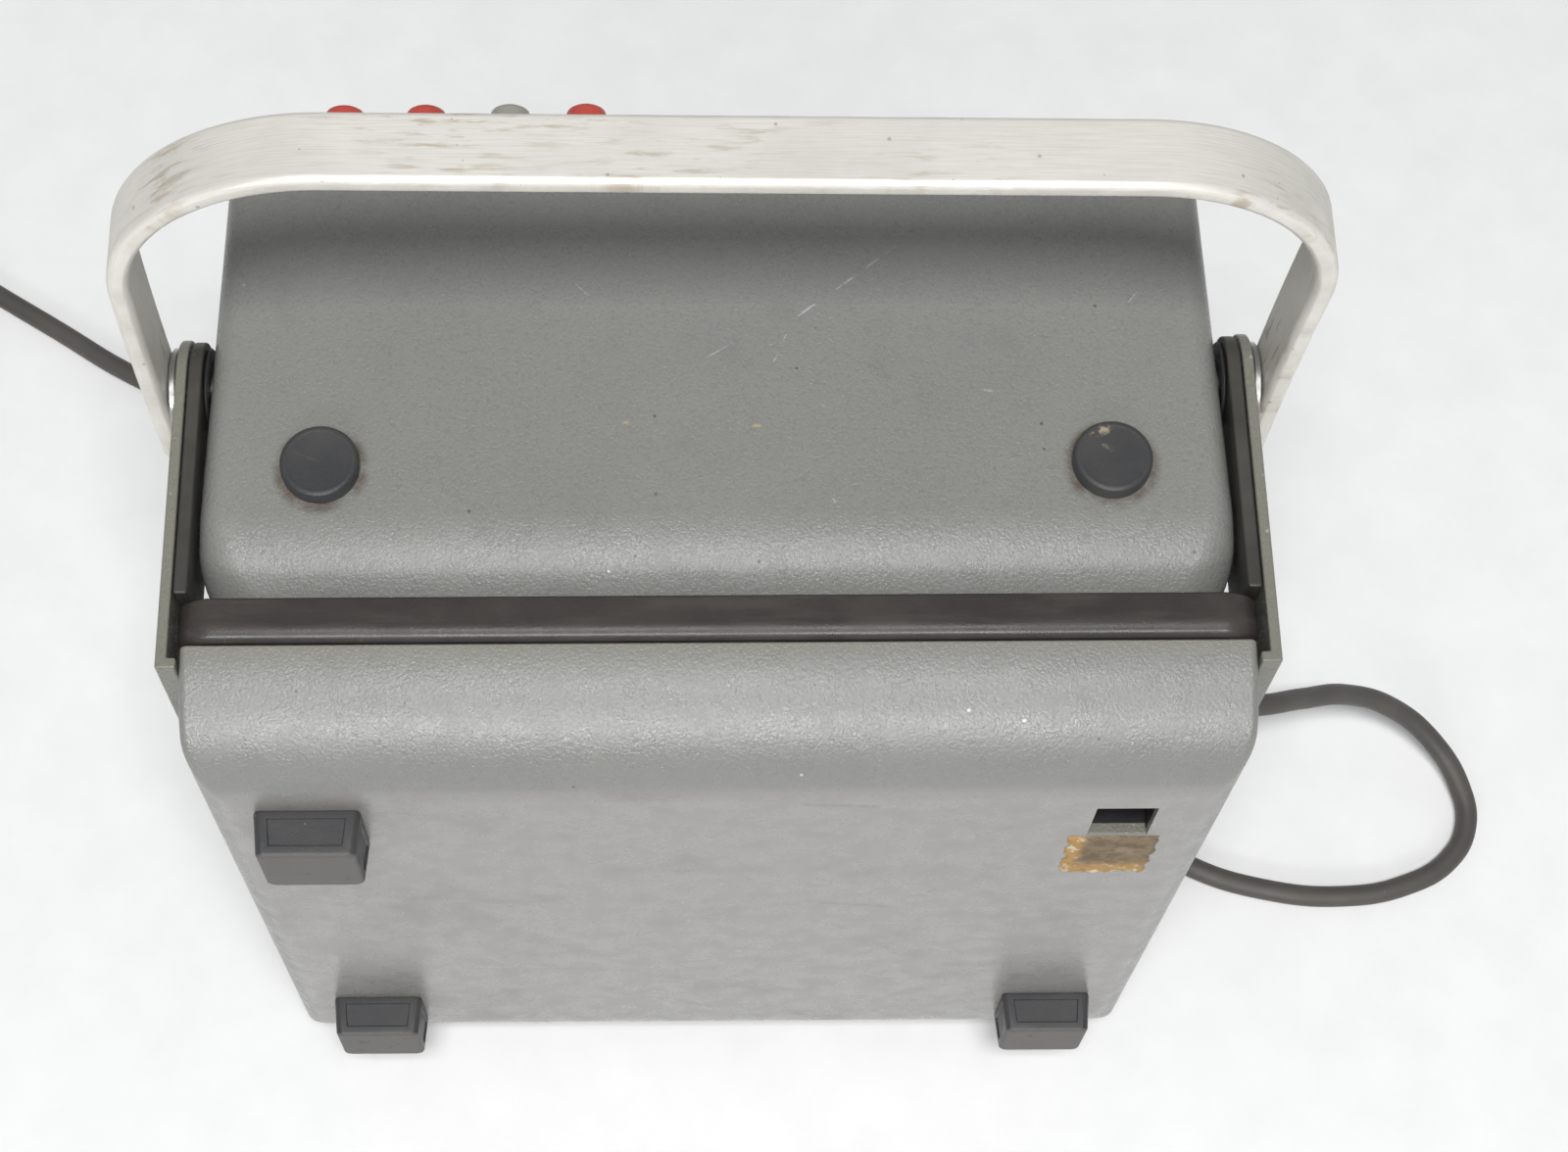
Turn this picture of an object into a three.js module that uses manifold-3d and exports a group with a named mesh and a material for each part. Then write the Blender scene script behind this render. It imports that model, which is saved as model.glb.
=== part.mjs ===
// A portable mains-powered test instrument in a sheet-metal case. The case stands on its long edge.
// Its rear tray hinges on two arms at the carrying handle's pivots, and the control panel faces away.
// Millimetres, +Z up. Depths are counted along +Y from the tray's flat face, heights from the table.
import * as THREE from 'three'
import { mergeVertices } from 'three/addons/utils/BufferGeometryUtils.js'
import Module from 'manifold-3d'

const wasm = await Module()
wasm.setup()

// ---- Driving dimensions ----

const GAP = 0.3 // between pieces that touch
const FOOT_LIFT = 4.5 // height of the round feet
const CASE_HEIGHT = 254
const CASE_LOW = FOOT_LIFT
const CASE_HIGH = FOOT_LIFT + CASE_HEIGHT
const SHEET = 1.6

const TRAY_HALF = 122
const TRAY_DEPTH = 28.5 // also the radius of its long shoulders
const TRAY_END_RADIUS = 8
const SEAL_DEPTH = 10.5
const SEAL_HALF = 123.6

const BODY_HALF = 120.2
const BODY_FRONT_HALF = 118.2
const BODY_BACK = 33
const BODY_FRONT = 150
const BODY_SHOULDER = 28.5
const BODY_END_RADIUS = 22
const PANEL_DEPTH = 144 // the panel's inner face
const PANEL_THICK = 2

const PIVOT_DEPTH = 98.5
const PIVOT_HEIGHT = 247.9
const PIVOT_SHAFT = 4
const PIVOT_HOLE = 4.5

const ARM_OUTER = 127
const ARM_THICK = 2.6
const ARM_HEIGHT = 24
const ARM_FRONT = 22.5
const ARM_LEG_LOW = 150
const BAR_THICK = 3.2
const BAR_FRONT = 41

const HANDLE_OUTER = 134.3
const HANDLE_THICK = 5
const HANDLE_WIDTH = 17
const HANDLE_TOP = 355
const HANDLE_RADIUS = 49
const HANDLE_BELOW = 26 // from the pivot down to the strap's ends
const HANDLE_SHIFT = 3.6 // the strap is bent out of true: its top has moved along +X
const HANDLE_SLOPE = 0.027 // and falls towards +X

const RECT_FOOT = 25
const RECT_FOOT_HEIGHT = 11
const RECT_FOOT_X = 95.8
const RECT_FOOT_HIGH_Z = 213.7
const RECT_FOOT_LOW_Z = 46.5
const ROUND_FOOT_X = 91.8
const ROUND_FOOT_DEPTH = 72.6
const FRONT_FOOT_DEPTH = 135

const POST_X = [-92.3, -71.8, -50.6, -31.4]
const POST_HEIGHT = 241.5
const POST_TIP = 180

const CORD_EXIT_DEPTH = 86
const CORD_EXIT_HEIGHT = 62
const CORD_DIAMETER = 6.5
const RELIEF_END = 150
const COIL_CENTRE = [-294, 251]
const COIL_INNER = 28.5
const COIL_OUTER = 43.5
const COIL_LOW = 1.2
const COIL_HIGH = 15

// The whole object is moved back by this, so that it stands centred on its origin.
const CENTRE_DEPTH = (POST_TIP - RECT_FOOT_HEIGHT) / 2

// ---- Materials ----

function paint(color, roughness, metalness) {
  return new THREE.MeshStandardMaterial({ color, roughness, metalness })
}

const ENAMEL = paint(0x7d8280, 0.45, 0.3)
const ARM_PAINT = paint(0x6b6f66, 0.5, 0.3)
const PANEL_PAINT = paint(0xb9bab2, 0.5, 0.2)
const ALUMINIUM = paint(0xd2cfc8, 0.35, 0.9)
const STEEL = paint(0x9a9a98, 0.35, 0.9)
const BRASS = paint(0xb08d4a, 0.35, 0.9)
const BLACK_BAR = paint(0x35342f, 0.6, 0.1)
const RUBBER = paint(0x2b2b2d, 0.8, 0)
const SEAL_RUBBER = paint(0x2a2421, 0.4, 0)
const CORD_RUBBER = paint(0x3c3a38, 0.7, 0)
const BLACK_PLASTIC = paint(0x1d1d1f, 0.4, 0)
const RED_PLASTIC = paint(0xc23a30, 0.35, 0)
const GREY_PLASTIC = paint(0x8b8b84, 0.4, 0)
const BOARD = paint(0x8a7440, 0.6, 0)
const COPPER = paint(0x9a5a32, 0.4, 0.6)
const CORE_STEEL = paint(0x4c4b4a, 0.5, 0.6)
const GLASS = paint(0xdfe8ea, 0.05, 0)
const DIAL_WHITE = paint(0xe9e7dd, 0.7, 0)

// ---- Solids: three.js geometry in, closed manifold solid out ----

function solid(geometry) {
  const bare = geometry.index ? geometry.toNonIndexed() : geometry.clone()
  bare.deleteAttribute('normal')
  bare.deleteAttribute('uv')
  const merged = mergeVertices(bare, 1e-4)
  const vertProperties = new Float32Array(merged.attributes.position.array)
  const triVerts = new Uint32Array(merged.index.array)
  return new wasm.Manifold(new wasm.Mesh({ numProp: 3, vertProperties, triVerts }))
}

function geometryOf(manifold) {
  const { vertProperties, triVerts } = manifold.getMesh()
  const geometry = new THREE.BufferGeometry()
  geometry.setAttribute('position', new THREE.BufferAttribute(new Float32Array(vertProperties), 3))
  geometry.setIndex(new THREE.BufferAttribute(new Uint32Array(triVerts), 1))
  return geometry
}

const join = (pieces) => pieces.reduce((whole, piece) => whole.add(piece))
const cut = (whole, holes) => holes.reduce((rest, hole) => rest.subtract(hole), whole)

function block(x0, x1, y0, y1, z0, z1) {
  const geometry = new THREE.BoxGeometry(x1 - x0, y1 - y0, z1 - z0)
  geometry.translate((x0 + x1) / 2, (y0 + y1) / 2, (z0 + z1) / 2)
  return solid(geometry)
}

// A shape drawn in (y, z) runs along X, one drawn in (z, x) runs along Y, one in (x, y) along Z.
function prism(axis, shape, low, high, curveSegments = 4) {
  const options = { depth: high - low, bevelEnabled: false, curveSegments }
  const geometry = new THREE.ExtrudeGeometry(shape, options)
  geometry.translate(0, 0, low)
  const [x, y, z] = [new THREE.Vector3(1, 0, 0), new THREE.Vector3(0, 1, 0), new THREE.Vector3(0, 0, 1)]
  const frames = { x: [y, z, x], y: [z, x, y], z: [x, y, z] }
  geometry.applyMatrix4(new THREE.Matrix4().makeBasis(...frames[axis]))
  return solid(geometry)
}

// A round solid about a line along the given axis, from a closed (radius, distance) profile.
function turned(axis, profile, centre, segments = 16) {
  const points = profile.map(([radius, distance]) => new THREE.Vector2(radius, distance))
  const geometry = new THREE.LatheGeometry(points, segments)
  const turns = { x: [0, 0, -Math.PI / 2], y: [0, 0, 0], z: [Math.PI / 2, 0, 0] }
  geometry.applyMatrix4(new THREE.Matrix4().makeRotationFromEuler(new THREE.Euler(...turns[axis])))
  geometry.translate(...centre)
  return solid(geometry)
}

function disc(axis, radius, low, high, centre, segments = 16) {
  const profile = [[0, low], [radius, low], [radius, high], [0, high]]
  return turned(axis, profile, centre, segments)
}

function ring(axis, inner, outer, low, high, centre, segments = 16) {
  const profile = [[inner, low], [outer, low], [outer, high], [inner, high], [inner, low]]
  return turned(axis, profile, centre, segments)
}

const PIVOT = [0, PIVOT_DEPTH, PIVOT_HEIGHT]
const pivotHole = (low, high) => disc('x', PIVOT_HOLE, low, high, PIVOT)

// A rectangle with round corners, centred on (cu, cv).
function roundedRectangle(cu, cv, halfU, halfV, radius) {
  const shape = new THREE.Shape()
  shape.moveTo(cu + halfU, cv - halfV + radius)
  shape.absarc(cu + halfU - radius, cv + halfV - radius, radius, 0, Math.PI / 2, false)
  shape.absarc(cu - halfU + radius, cv + halfV - radius, radius, Math.PI / 2, Math.PI, false)
  shape.absarc(cu - halfU + radius, cv - halfV + radius, radius, Math.PI, 1.5 * Math.PI, false)
  shape.absarc(cu + halfU - radius, cv - halfV + radius, radius, 1.5 * Math.PI, 2 * Math.PI, false)
  return shape
}

// A drawn case half: long shoulders along X, smaller round ends, closed at the back, open in front.
function drawnCase({ half, frontHalf, back, front, low, high, shoulder, endRadius, cornerRadius }) {
  const side = new THREE.Shape()
  side.moveTo(back, low + shoulder)
  side.absarc(back + shoulder, high - shoulder, shoulder, Math.PI, Math.PI / 2, true)
  if (front > back + shoulder) side.lineTo(front, high)
  if (front > back + shoulder) side.lineTo(front, low)
  side.absarc(back + shoulder, low + shoulder, shoulder, 1.5 * Math.PI, Math.PI, true)
  const plan = new THREE.Shape()
  plan.moveTo(-half + endRadius, back)
  plan.absarc(half - endRadius, back + endRadius, endRadius, 1.5 * Math.PI, 2 * Math.PI, false)
  plan.lineTo(frontHalf, front)
  plan.lineTo(-frontHalf, front)
  plan.absarc(-half + endRadius, back + endRadius, endRadius, Math.PI, 1.5 * Math.PI, false)
  const middle = (low + high) / 2
  const end = roundedRectangle(middle, 0, (high - low) / 2, half, cornerRadius)
  return prism('x', side, -half, half, 5)
    .intersect(prism('z', plan, low, high, 3))
    .intersect(prism('y', end, back, front, 3))
}

// ---- Rear tray, its arms, seal and feet ----

function rectFootHole(x, z) {
  return block(x - 7.2, x + 7.2, -1, 5, z - 10, z + 10)
}

function trayShell() {
  const size = {
    half: TRAY_HALF, frontHalf: TRAY_HALF, back: 0, front: TRAY_DEPTH, low: CASE_LOW, high: CASE_HIGH,
    shoulder: TRAY_DEPTH, endRadius: TRAY_END_RADIUS, cornerRadius: 8,
  }
  const inside = {
    half: TRAY_HALF - SHEET, frontHalf: TRAY_HALF - SHEET, back: SHEET, front: TRAY_DEPTH + 1,
    low: CASE_LOW + SHEET, high: CASE_HIGH - SHEET, shoulder: TRAY_DEPTH - SHEET,
    endRadius: TRAY_END_RADIUS - SHEET, cornerRadius: 8 - SHEET,
  }
  const holes = []
  for (const x of [-RECT_FOOT_X, RECT_FOOT_X]) {
    for (const z of [RECT_FOOT_LOW_Z, RECT_FOOT_HIGH_Z]) holes.push(rectFootHole(x, z))
  }
  return cut(drawnCase(size), [drawnCase(inside), ...holes])
}

// The seal is a rubber ring round the tray's open edge. The body's shoulders sink into it.
function traySeal() {
  const back = TRAY_DEPTH + GAP
  const front = back + SEAL_DEPTH
  const middle = (CASE_LOW + CASE_HIGH) / 2
  const outerHalf = CASE_HEIGHT / 2 + 2.5
  const outer = roundedRectangle(middle, 0, outerHalf, SEAL_HALF, 9)
  const inner = roundedRectangle(middle, 0, CASE_HEIGHT / 2 - 9.8, BODY_HALF + 0.5, 5)
  return prism('y', outer, back, front).subtract(prism('y', inner, back - 1, front + 1))
}

// Each arm is an angle: a leg down the tray's end, and a strap back to the pivot with a round end.
function armPlate(low, high) {
  const radius = ARM_HEIGHT / 2
  const top = PIVOT_HEIGHT + radius
  const shape = new THREE.Shape()
  shape.moveTo(ARM_FRONT, ARM_LEG_LOW)
  shape.lineTo(ARM_FRONT + 11, ARM_LEG_LOW)
  shape.lineTo(ARM_FRONT + 11, top - 40)
  shape.lineTo(ARM_FRONT + 27, top - ARM_HEIGHT)
  shape.absarc(PIVOT_DEPTH, PIVOT_HEIGHT, radius, -Math.PI / 2, Math.PI / 2, false)
  shape.lineTo(ARM_FRONT, top)
  return prism('x', shape, low, high)
}

function arm(side) {
  const inner = ARM_OUTER - ARM_THICK
  const [low, high] = side > 0 ? [inner, ARM_OUTER] : [-ARM_OUTER, -inner]
  const top = PIVOT_HEIGHT + ARM_HEIGHT / 2
  const reach = TRAY_HALF + GAP
  const [flangeLow, flangeHigh] = side > 0 ? [reach, high] : [low, -reach]
  const flange = block(flangeLow, flangeHigh, ARM_FRONT, ARM_FRONT + ARM_THICK, ARM_LEG_LOW, top)
  return cut(armPlate(low, high).add(flange), [pivotHole(low - 1, high + 1), rivetHole(low - 1, high + 1)])
}

const RIVET = [0, 60, PIVOT_HEIGHT]
const rivetHole = (low, high) => disc('x', 2.3, low, high, RIVET, 16)

function armBar(side) {
  const high = ARM_OUTER - ARM_THICK - GAP
  const low = high - BAR_THICK
  const radius = ARM_HEIGHT / 2 - 0.5
  const shape = new THREE.Shape()
  shape.moveTo(BAR_FRONT, PIVOT_HEIGHT + radius)
  shape.lineTo(BAR_FRONT + 9, PIVOT_HEIGHT - radius)
  shape.absarc(PIVOT_DEPTH, PIVOT_HEIGHT, radius, -Math.PI / 2, Math.PI / 2, false)
  const [from, to] = side > 0 ? [low, high] : [-high, -low]
  return cut(prism('x', shape, from, to), [pivotHole(from - 1, to + 1), rivetHole(from - 1, to + 1)])
}

function armRivet(side) {
  const inner = ARM_OUTER - ARM_THICK - GAP - BAR_THICK
  const profile = [
    [0, inner], [2, inner], [2, ARM_OUTER + GAP], [4, ARM_OUTER + GAP],
    [3, ARM_OUTER + 1.3], [0, ARM_OUTER + 1.3],
  ]
  const placed = side > 0 ? profile : profile.map(([radius, x]) => [radius, -x]).reverse()
  return turned('x', placed, RIVET, 16)
}

function rectFoot(x, z) {
  const pad = new THREE.CylinderGeometry(
    (RECT_FOOT - 2.2) / Math.SQRT2, RECT_FOOT / Math.SQRT2, RECT_FOOT_HEIGHT - GAP, 4)
  pad.rotateY(Math.PI / 4)
  pad.rotateX(Math.PI)
  pad.translate(x, -(RECT_FOOT_HEIGHT + GAP) / 2, z)
  const stem = block(x - 6.8, x + 6.8, -GAP - 0.5, 4.5, z - 9.6, z + 9.6)
  return solid(pad).add(stem)
}

// ---- Handle ----

// Above the pivots the strap has been bent sideways, more so towards its top.
function bentPoint({ x: height, y: x }) {
  const share = Math.max(0, (height - PIVOT_HEIGHT) / (HANDLE_TOP - PIVOT_HEIGHT))
  return new THREE.Vector2(height - HANDLE_SLOPE * x * share, x + HANDLE_SHIFT * share * share)
}

function handleOutline(inset) {
  const half = HANDLE_OUTER - inset
  const top = HANDLE_TOP - inset
  const radius = HANDLE_RADIUS - inset
  const low = PIVOT_HEIGHT - HANDLE_BELOW - 2 - inset
  const outline = new THREE.Shape()
  outline.moveTo(low, half)
  outline.lineTo(low, -half)
  for (const rise of [0, 20, 40]) outline.lineTo(PIVOT_HEIGHT + rise, -half)
  outline.absarc(top - radius, -half + radius, radius, 1.5 * Math.PI, 2 * Math.PI, false)
  outline.absarc(top - radius, half - radius, radius, 0, Math.PI / 2, false)
  for (const rise of [40, 20, 0]) outline.lineTo(PIVOT_HEIGHT + rise, half)
  return new THREE.Shape(outline.getPoints(6).map(bentPoint))
}

function handleStrap() {
  const low = PIVOT_DEPTH - HANDLE_WIDTH / 2
  const high = PIVOT_DEPTH + HANDLE_WIDTH / 2
  const bow = prism('y', handleOutline(0), low, high)
    .subtract(prism('y', handleOutline(HANDLE_THICK), low - 1, high + 1))
  const endCentre = PIVOT_HEIGHT - HANDLE_BELOW + HANDLE_WIDTH / 2
  const ends = new THREE.Shape()
  ends.moveTo(high, HANDLE_TOP + 10)
  ends.lineTo(low, HANDLE_TOP + 10)
  ends.absarc(PIVOT_DEPTH, endCentre, HANDLE_WIDTH / 2, Math.PI, 2 * Math.PI, false)
  const reach = HANDLE_OUTER + 1
  const rounded = bow.intersect(prism('x', ends, -reach, reach))
  return cut(rounded, [pivotHole(-reach, reach)])
}

const washerRing = (x0, x1) => ring('x', PIVOT_HOLE, 10.2, x0, x1, PIVOT)
const bothSides = (x0, x1, side) => (side > 0 ? [x0, x1] : [-x1, -x0])

// The screw's head is inside the body. Its end is flush with the strap's outer face.
function pivotScrew(side) {
  const profile = [
    [0, 112.5], [6, 112.5], [7.2, 113.5], [7.2, 117.1], [PIVOT_SHAFT, 117.1],
    [PIVOT_SHAFT, HANDLE_OUTER - 0.8], [PIVOT_SHAFT - 0.5, HANDLE_OUTER - 0.2], [0, HANDLE_OUTER - 0.2],
  ]
  const placed = side > 0 ? profile : profile.map(([radius, x]) => [radius, -x]).reverse()
  return turned('x', placed, PIVOT)
}

// ---- Instrument body and panel ----

const PANEL_HALF = 115.8
const PANEL_LOW = CASE_LOW + SHEET + GAP + 0.1
const PANEL_HIGH = CASE_HIGH - SHEET - GAP - 0.1
const PANEL_FACE = PANEL_DEPTH + PANEL_THICK
const LAYOUT = {
  meter: [22, 158], rangeKnob: [-62, 168], setKnob: [-62, 104],
  toggle: [84, 60], lamp: [52, 60], fuse: [20, 60],
}
const SCREW_PLACES = [[-107, 16], [107, 16], [-107, 228], [107, 228]]

function panelHole(radius, [x, z], segments = 12) {
  return disc('y', radius, PANEL_DEPTH - 1, PANEL_FACE + 1, [x, 0, z], segments)
}

function bodyShell() {
  const size = {
    half: BODY_HALF, frontHalf: BODY_FRONT_HALF, back: BODY_BACK, front: BODY_FRONT, low: CASE_LOW,
    high: CASE_HIGH, shoulder: BODY_SHOULDER, endRadius: BODY_END_RADIUS, cornerRadius: 6,
  }
  const inside = {
    half: BODY_HALF - SHEET, frontHalf: BODY_FRONT_HALF - SHEET,
    back: BODY_BACK + SHEET, front: BODY_FRONT + 1, low: CASE_LOW + SHEET, high: CASE_HIGH - SHEET,
    shoulder: BODY_SHOULDER - SHEET, endRadius: BODY_END_RADIUS - SHEET, cornerRadius: 6 - SHEET,
  }
  const cordHole = disc('x', 6.6, 110, 125, [0, CORD_EXIT_DEPTH, CORD_EXIT_HEIGHT])
  return cut(drawnCase(size), [drawnCase(inside), pivotHole(-125, 125), cordHole])
}

function frontPanel() {
  const middle = (PANEL_LOW + PANEL_HIGH) / 2
  const outline = roundedRectangle(middle, 0, (PANEL_HIGH - PANEL_LOW) / 2, PANEL_HALF, 4)
  const plate = prism('y', outline, PANEL_DEPTH, PANEL_FACE)
  const { meter, rangeKnob, setKnob, toggle, lamp, fuse } = LAYOUT
  const posts = POST_X.map((x) => panelHole(3.4, [x, POST_HEIGHT]))
  const screws = SCREW_PLACES.map((place) => panelHole(2.3, place))
  const dials = [panelHole(33, meter, 24), panelHole(4.2, rangeKnob), panelHole(4.2, setKnob)]
  const small = [panelHole(6.3, toggle), panelHole(5.3, lamp), panelHole(6.8, fuse)]
  return cut(plate, [...posts, ...screws, ...dials, ...small])
}

function panelScrew([x, z]) {
  const profile = [
    [0, PANEL_DEPTH - 7], [2, PANEL_DEPTH - 7], [2, PANEL_FACE + GAP],
    [3.8, PANEL_FACE + GAP], [3.2, PANEL_FACE + 2.4], [0, PANEL_FACE + 2.6],
  ]
  return turned('y', profile, [x, 0, z], 10)
}

// The chassis is a bent sheet: a web across the case, with two flanges that reach the panel.
function chassis() {
  const [low, high] = [28, 228]
  const web = block(-98, 98, 92, 93.6, low, high)
  const flanges = [low, high - SHEET].map((z) => block(-98, 98, 92, PANEL_DEPTH - GAP, z, z + SHEET))
  return cut(join([web, ...flanges]), [disc('y', 34, 90, 96, [LAYOUT.meter[0], 0, LAYOUT.meter[1]], 20)])
}

const CORE = { x: -45, z: 84, halfX: 33, halfZ: 27.5, y0: 62, y1: 88 }

function transformerCore() {
  const { x, z, halfX, halfZ, y0, y1 } = CORE
  const window = (u) => block(u - 5.5, u + 5.5, y0 - 1, y1 + 1, z - 16.5, z + 16.5)
  const stack = block(x - halfX, x + halfX, y0, y1, z - halfZ, z + halfZ)
  return cut(stack, [window(x - 16.5), window(x + 16.5)])
}

function transformerCoil() {
  const { x, z, y0, y1 } = CORE
  const outer = block(x - 21.4, x + 21.4, y0 - 9, y1 + 3.4, z - 16.1, z + 16.1)
  return outer.subtract(block(x - 11.4, x + 11.4, y0 - 0.4, y1 + 0.4, z - 17, z + 17))
}

const BOARD_BOX = { x0: 8, x1: 96, y0: 80, y1: 81.6, z0: 44, z1: 116 }

function circuitBoard() {
  const { x0, x1, y0, y1, z0, z1 } = BOARD_BOX
  const corners = [[x0 + 6, z0 + 6], [x1 - 6, z0 + 6], [x0 + 6, z1 - 6], [x1 - 6, z1 - 6]]
  const spacers = corners.map(([x, z]) => disc('y', 3, y1 - 0.2, 92 - GAP, [x, 0, z], 12))
  return join([block(x0, x1, y0, y1, z0, z1), ...spacers])
}

// Resistors stand across a strip of tags.
function componentStrip() {
  const y = BOARD_BOX.y0 - GAP
  const resistors = [22, 34, 46, 58, 70, 82].map((x) => disc('z', 2.6, -8, 8, [x, y - 4, 66], 12))
  return join([block(14, 90, y - 3, y, 62, 70), ...resistors])
}

function capacitor() {
  return disc('y', 11, BOARD_BOX.y0 - GAP - 30, BOARD_BOX.y0 - GAP, [52, 0, 98], 16)
}

const METER_FRONT = PANEL_FACE + GAP
const METER = { halfX: 50, halfZ: 41, thick: 9 }

function meterCase() {
  const [x, z] = LAYOUT.meter
  const { halfX, halfZ, thick } = METER
  const bezel = prism('y', roundedRectangle(z, x, halfZ, halfX, 6), METER_FRONT, METER_FRONT + thick)
  const [from, to] = [METER_FRONT + 2, METER_FRONT + thick + 1]
  const window = block(x - halfX + 6, x + halfX - 6, from, to, z - halfZ + 18, z + halfZ - 6)
  const drum = disc('y', 32, PANEL_DEPTH - 36, METER_FRONT + 1, [x, 0, z], 24)
  return bezel.add(drum).subtract(window)
}

// A plate in the meter's window, with a border left free all round.
function windowPlate(border, y, thick) {
  const [x, z] = LAYOUT.meter
  const [halfX, halfZ] = [METER.halfX - border, METER.halfZ - border]
  return block(x - halfX, x + halfX, y, y + thick, z - halfZ + 12, z + halfZ)
}

const meterDial = () => windowPlate(7, METER_FRONT + 2 + GAP, 0.8)
const meterGlass = () => windowPlate(6.3, METER_FRONT + METER.thick - 1.8, 1.4)

// The needle turns about a point just above the window's lower edge, and rests at the scale's left end.
const NEEDLE_PIVOT = [LAYOUT.meter[0], METER_FRONT + 4.6, LAYOUT.meter[1] - METER.halfZ + 22]
const NEEDLE_REST = 40 // degrees from upright

function meterNeedle() {
  const pointer = new THREE.BoxGeometry(0.9, 0.6, 40)
  pointer.translate(0, 0, 20)
  const hub = solid(new THREE.CylinderGeometry(2.4, 2.4, 1.6, 16))
  const needle = geometryOf(solid(pointer).add(hub))
  needle.rotateY(THREE.MathUtils.degToRad(NEEDLE_REST))
  needle.translate(...NEEDLE_PIVOT)
  return solid(needle)
}

function knob(place, radius, height) {
  const base = PANEL_FACE + GAP + 0.3
  const profile = [
    [0, PANEL_DEPTH - 10], [3.6, PANEL_DEPTH - 10], [3.6, base], [radius + 3, base],
    [radius + 2, base + 3], [radius, base + 4], [radius - 1.5, base + height - 1],
    [radius - 2.5, base + height], [0, base + height],
  ]
  const [x, z] = place
  const pointer = block(x - 1.1, x + 1.1, base + height - 1, base + height + 1, z, z + radius - 3)
  return turned('y', profile, [x, 0, z], 16).add(pointer)
}

function toggleBody() {
  const [x, z] = LAYOUT.toggle
  const can = block(x - 7, x + 7, PANEL_DEPTH - 24, PANEL_DEPTH - GAP, z - 12, z + 12)
  const bush = ring('y', 4.2, 5.9, PANEL_DEPTH - 1, PANEL_FACE + 8, [x, 0, z], 12)
  return cut(can, [disc('y', 4.2, PANEL_DEPTH - 12, PANEL_DEPTH + 1, [x, 0, z])]).add(bush)
}

const LEVER_PIVOT = [LAYOUT.toggle[0], PANEL_FACE + 2, LAYOUT.toggle[1]]
const LEVER_TILT = 14 // degrees, down is off

function toggleLever() {
  const profile = [[0, -4], [1.6, -4], [1.4, 3], [2.4, 18], [2.2, 19.4], [0, 20]]
  const points = profile.map((point) => new THREE.Vector2(...point))
  const geometry = new THREE.LatheGeometry(points, 16)
  geometry.rotateX(THREE.MathUtils.degToRad(-LEVER_TILT))
  geometry.translate(...LEVER_PIVOT)
  return solid(geometry)
}

function pilotLamp() {
  const [x, z] = LAYOUT.lamp
  const profile = [
    [0, PANEL_DEPTH - 22], [5, PANEL_DEPTH - 22], [5, PANEL_FACE + GAP], [7.5, PANEL_FACE + GAP],
    [7.5, PANEL_FACE + 2], [5.5, PANEL_FACE + 6], [3, PANEL_FACE + 8], [0, PANEL_FACE + 8.6],
  ]
  return turned('y', profile, [x, 0, z], 16)
}

function fuseHolder() {
  const [x, z] = LAYOUT.fuse
  const profile = [
    [0, PANEL_DEPTH - 34], [6.5, PANEL_DEPTH - 34], [6.5, PANEL_FACE + GAP], [9, PANEL_FACE + GAP],
    [9, PANEL_FACE + 4], [7.5, PANEL_FACE + 5], [7.2, PANEL_FACE + 12], [0, PANEL_FACE + 12.4],
  ]
  return turned('y', profile, [x, 0, z], 16)
}

// ---- Binding posts ----

function postStud(x) {
  const profile = [
    [0, PANEL_DEPTH - 9], [4.5, PANEL_DEPTH - 9], [4.5, PANEL_DEPTH - 5], [3, PANEL_DEPTH - 5],
    [3, PANEL_FACE + GAP], [6.5, PANEL_FACE + GAP], [6.5, PANEL_FACE + 5], [2, PANEL_FACE + 5],
    [2, POST_TIP - 4], [0, POST_TIP - 4],
  ]
  return turned('y', profile, [x, 0, POST_HEIGHT], 12)
}

function postCap(x) {
  const low = PANEL_FACE + 5 + GAP
  const profile = [
    [2.4, low], [5.4, low], [6, low + 2], [6, POST_TIP - 8], [5.2, POST_TIP - 7], [5.2, POST_TIP - 1.2],
    [4.2, POST_TIP], [0, POST_TIP], [0, POST_TIP - 3], [2.4, POST_TIP - 3], [2.4, low],
  ]
  return turned('y', profile, [x, 0, POST_HEIGHT], 12)
}

// ---- Round feet ----

function roundFoot(x, y, base, up) {
  const profile = [[0, 0], [9.25, 0], [8.9, 3.4], [8.2, FOOT_LIFT - GAP], [0, FOOT_LIFT - GAP]]
  const points = profile.map(([radius, height]) => new THREE.Vector2(radius, height))
  const geometry = new THREE.LatheGeometry(points, 18)
  geometry.rotateX(up ? Math.PI / 2 : -Math.PI / 2)
  geometry.translate(x, y, base)
  return solid(geometry)
}

// ---- Mains cord ----

function strainRelief() {
  const wall = 119.6
  const profile = [
    [0, 112], [8.5, 112], [8.5, wall - SHEET - 0.6], [6.2, wall - SHEET - 0.6], [6.2, wall + GAP],
    [9.5, wall + GAP], [9.5, wall + 3], [7, wall + 4.5], [4.2, RELIEF_END], [0, RELIEF_END],
  ]
  return turned('x', profile, [0, CORD_EXIT_DEPTH, CORD_EXIT_HEIGHT], 14)
}

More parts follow.
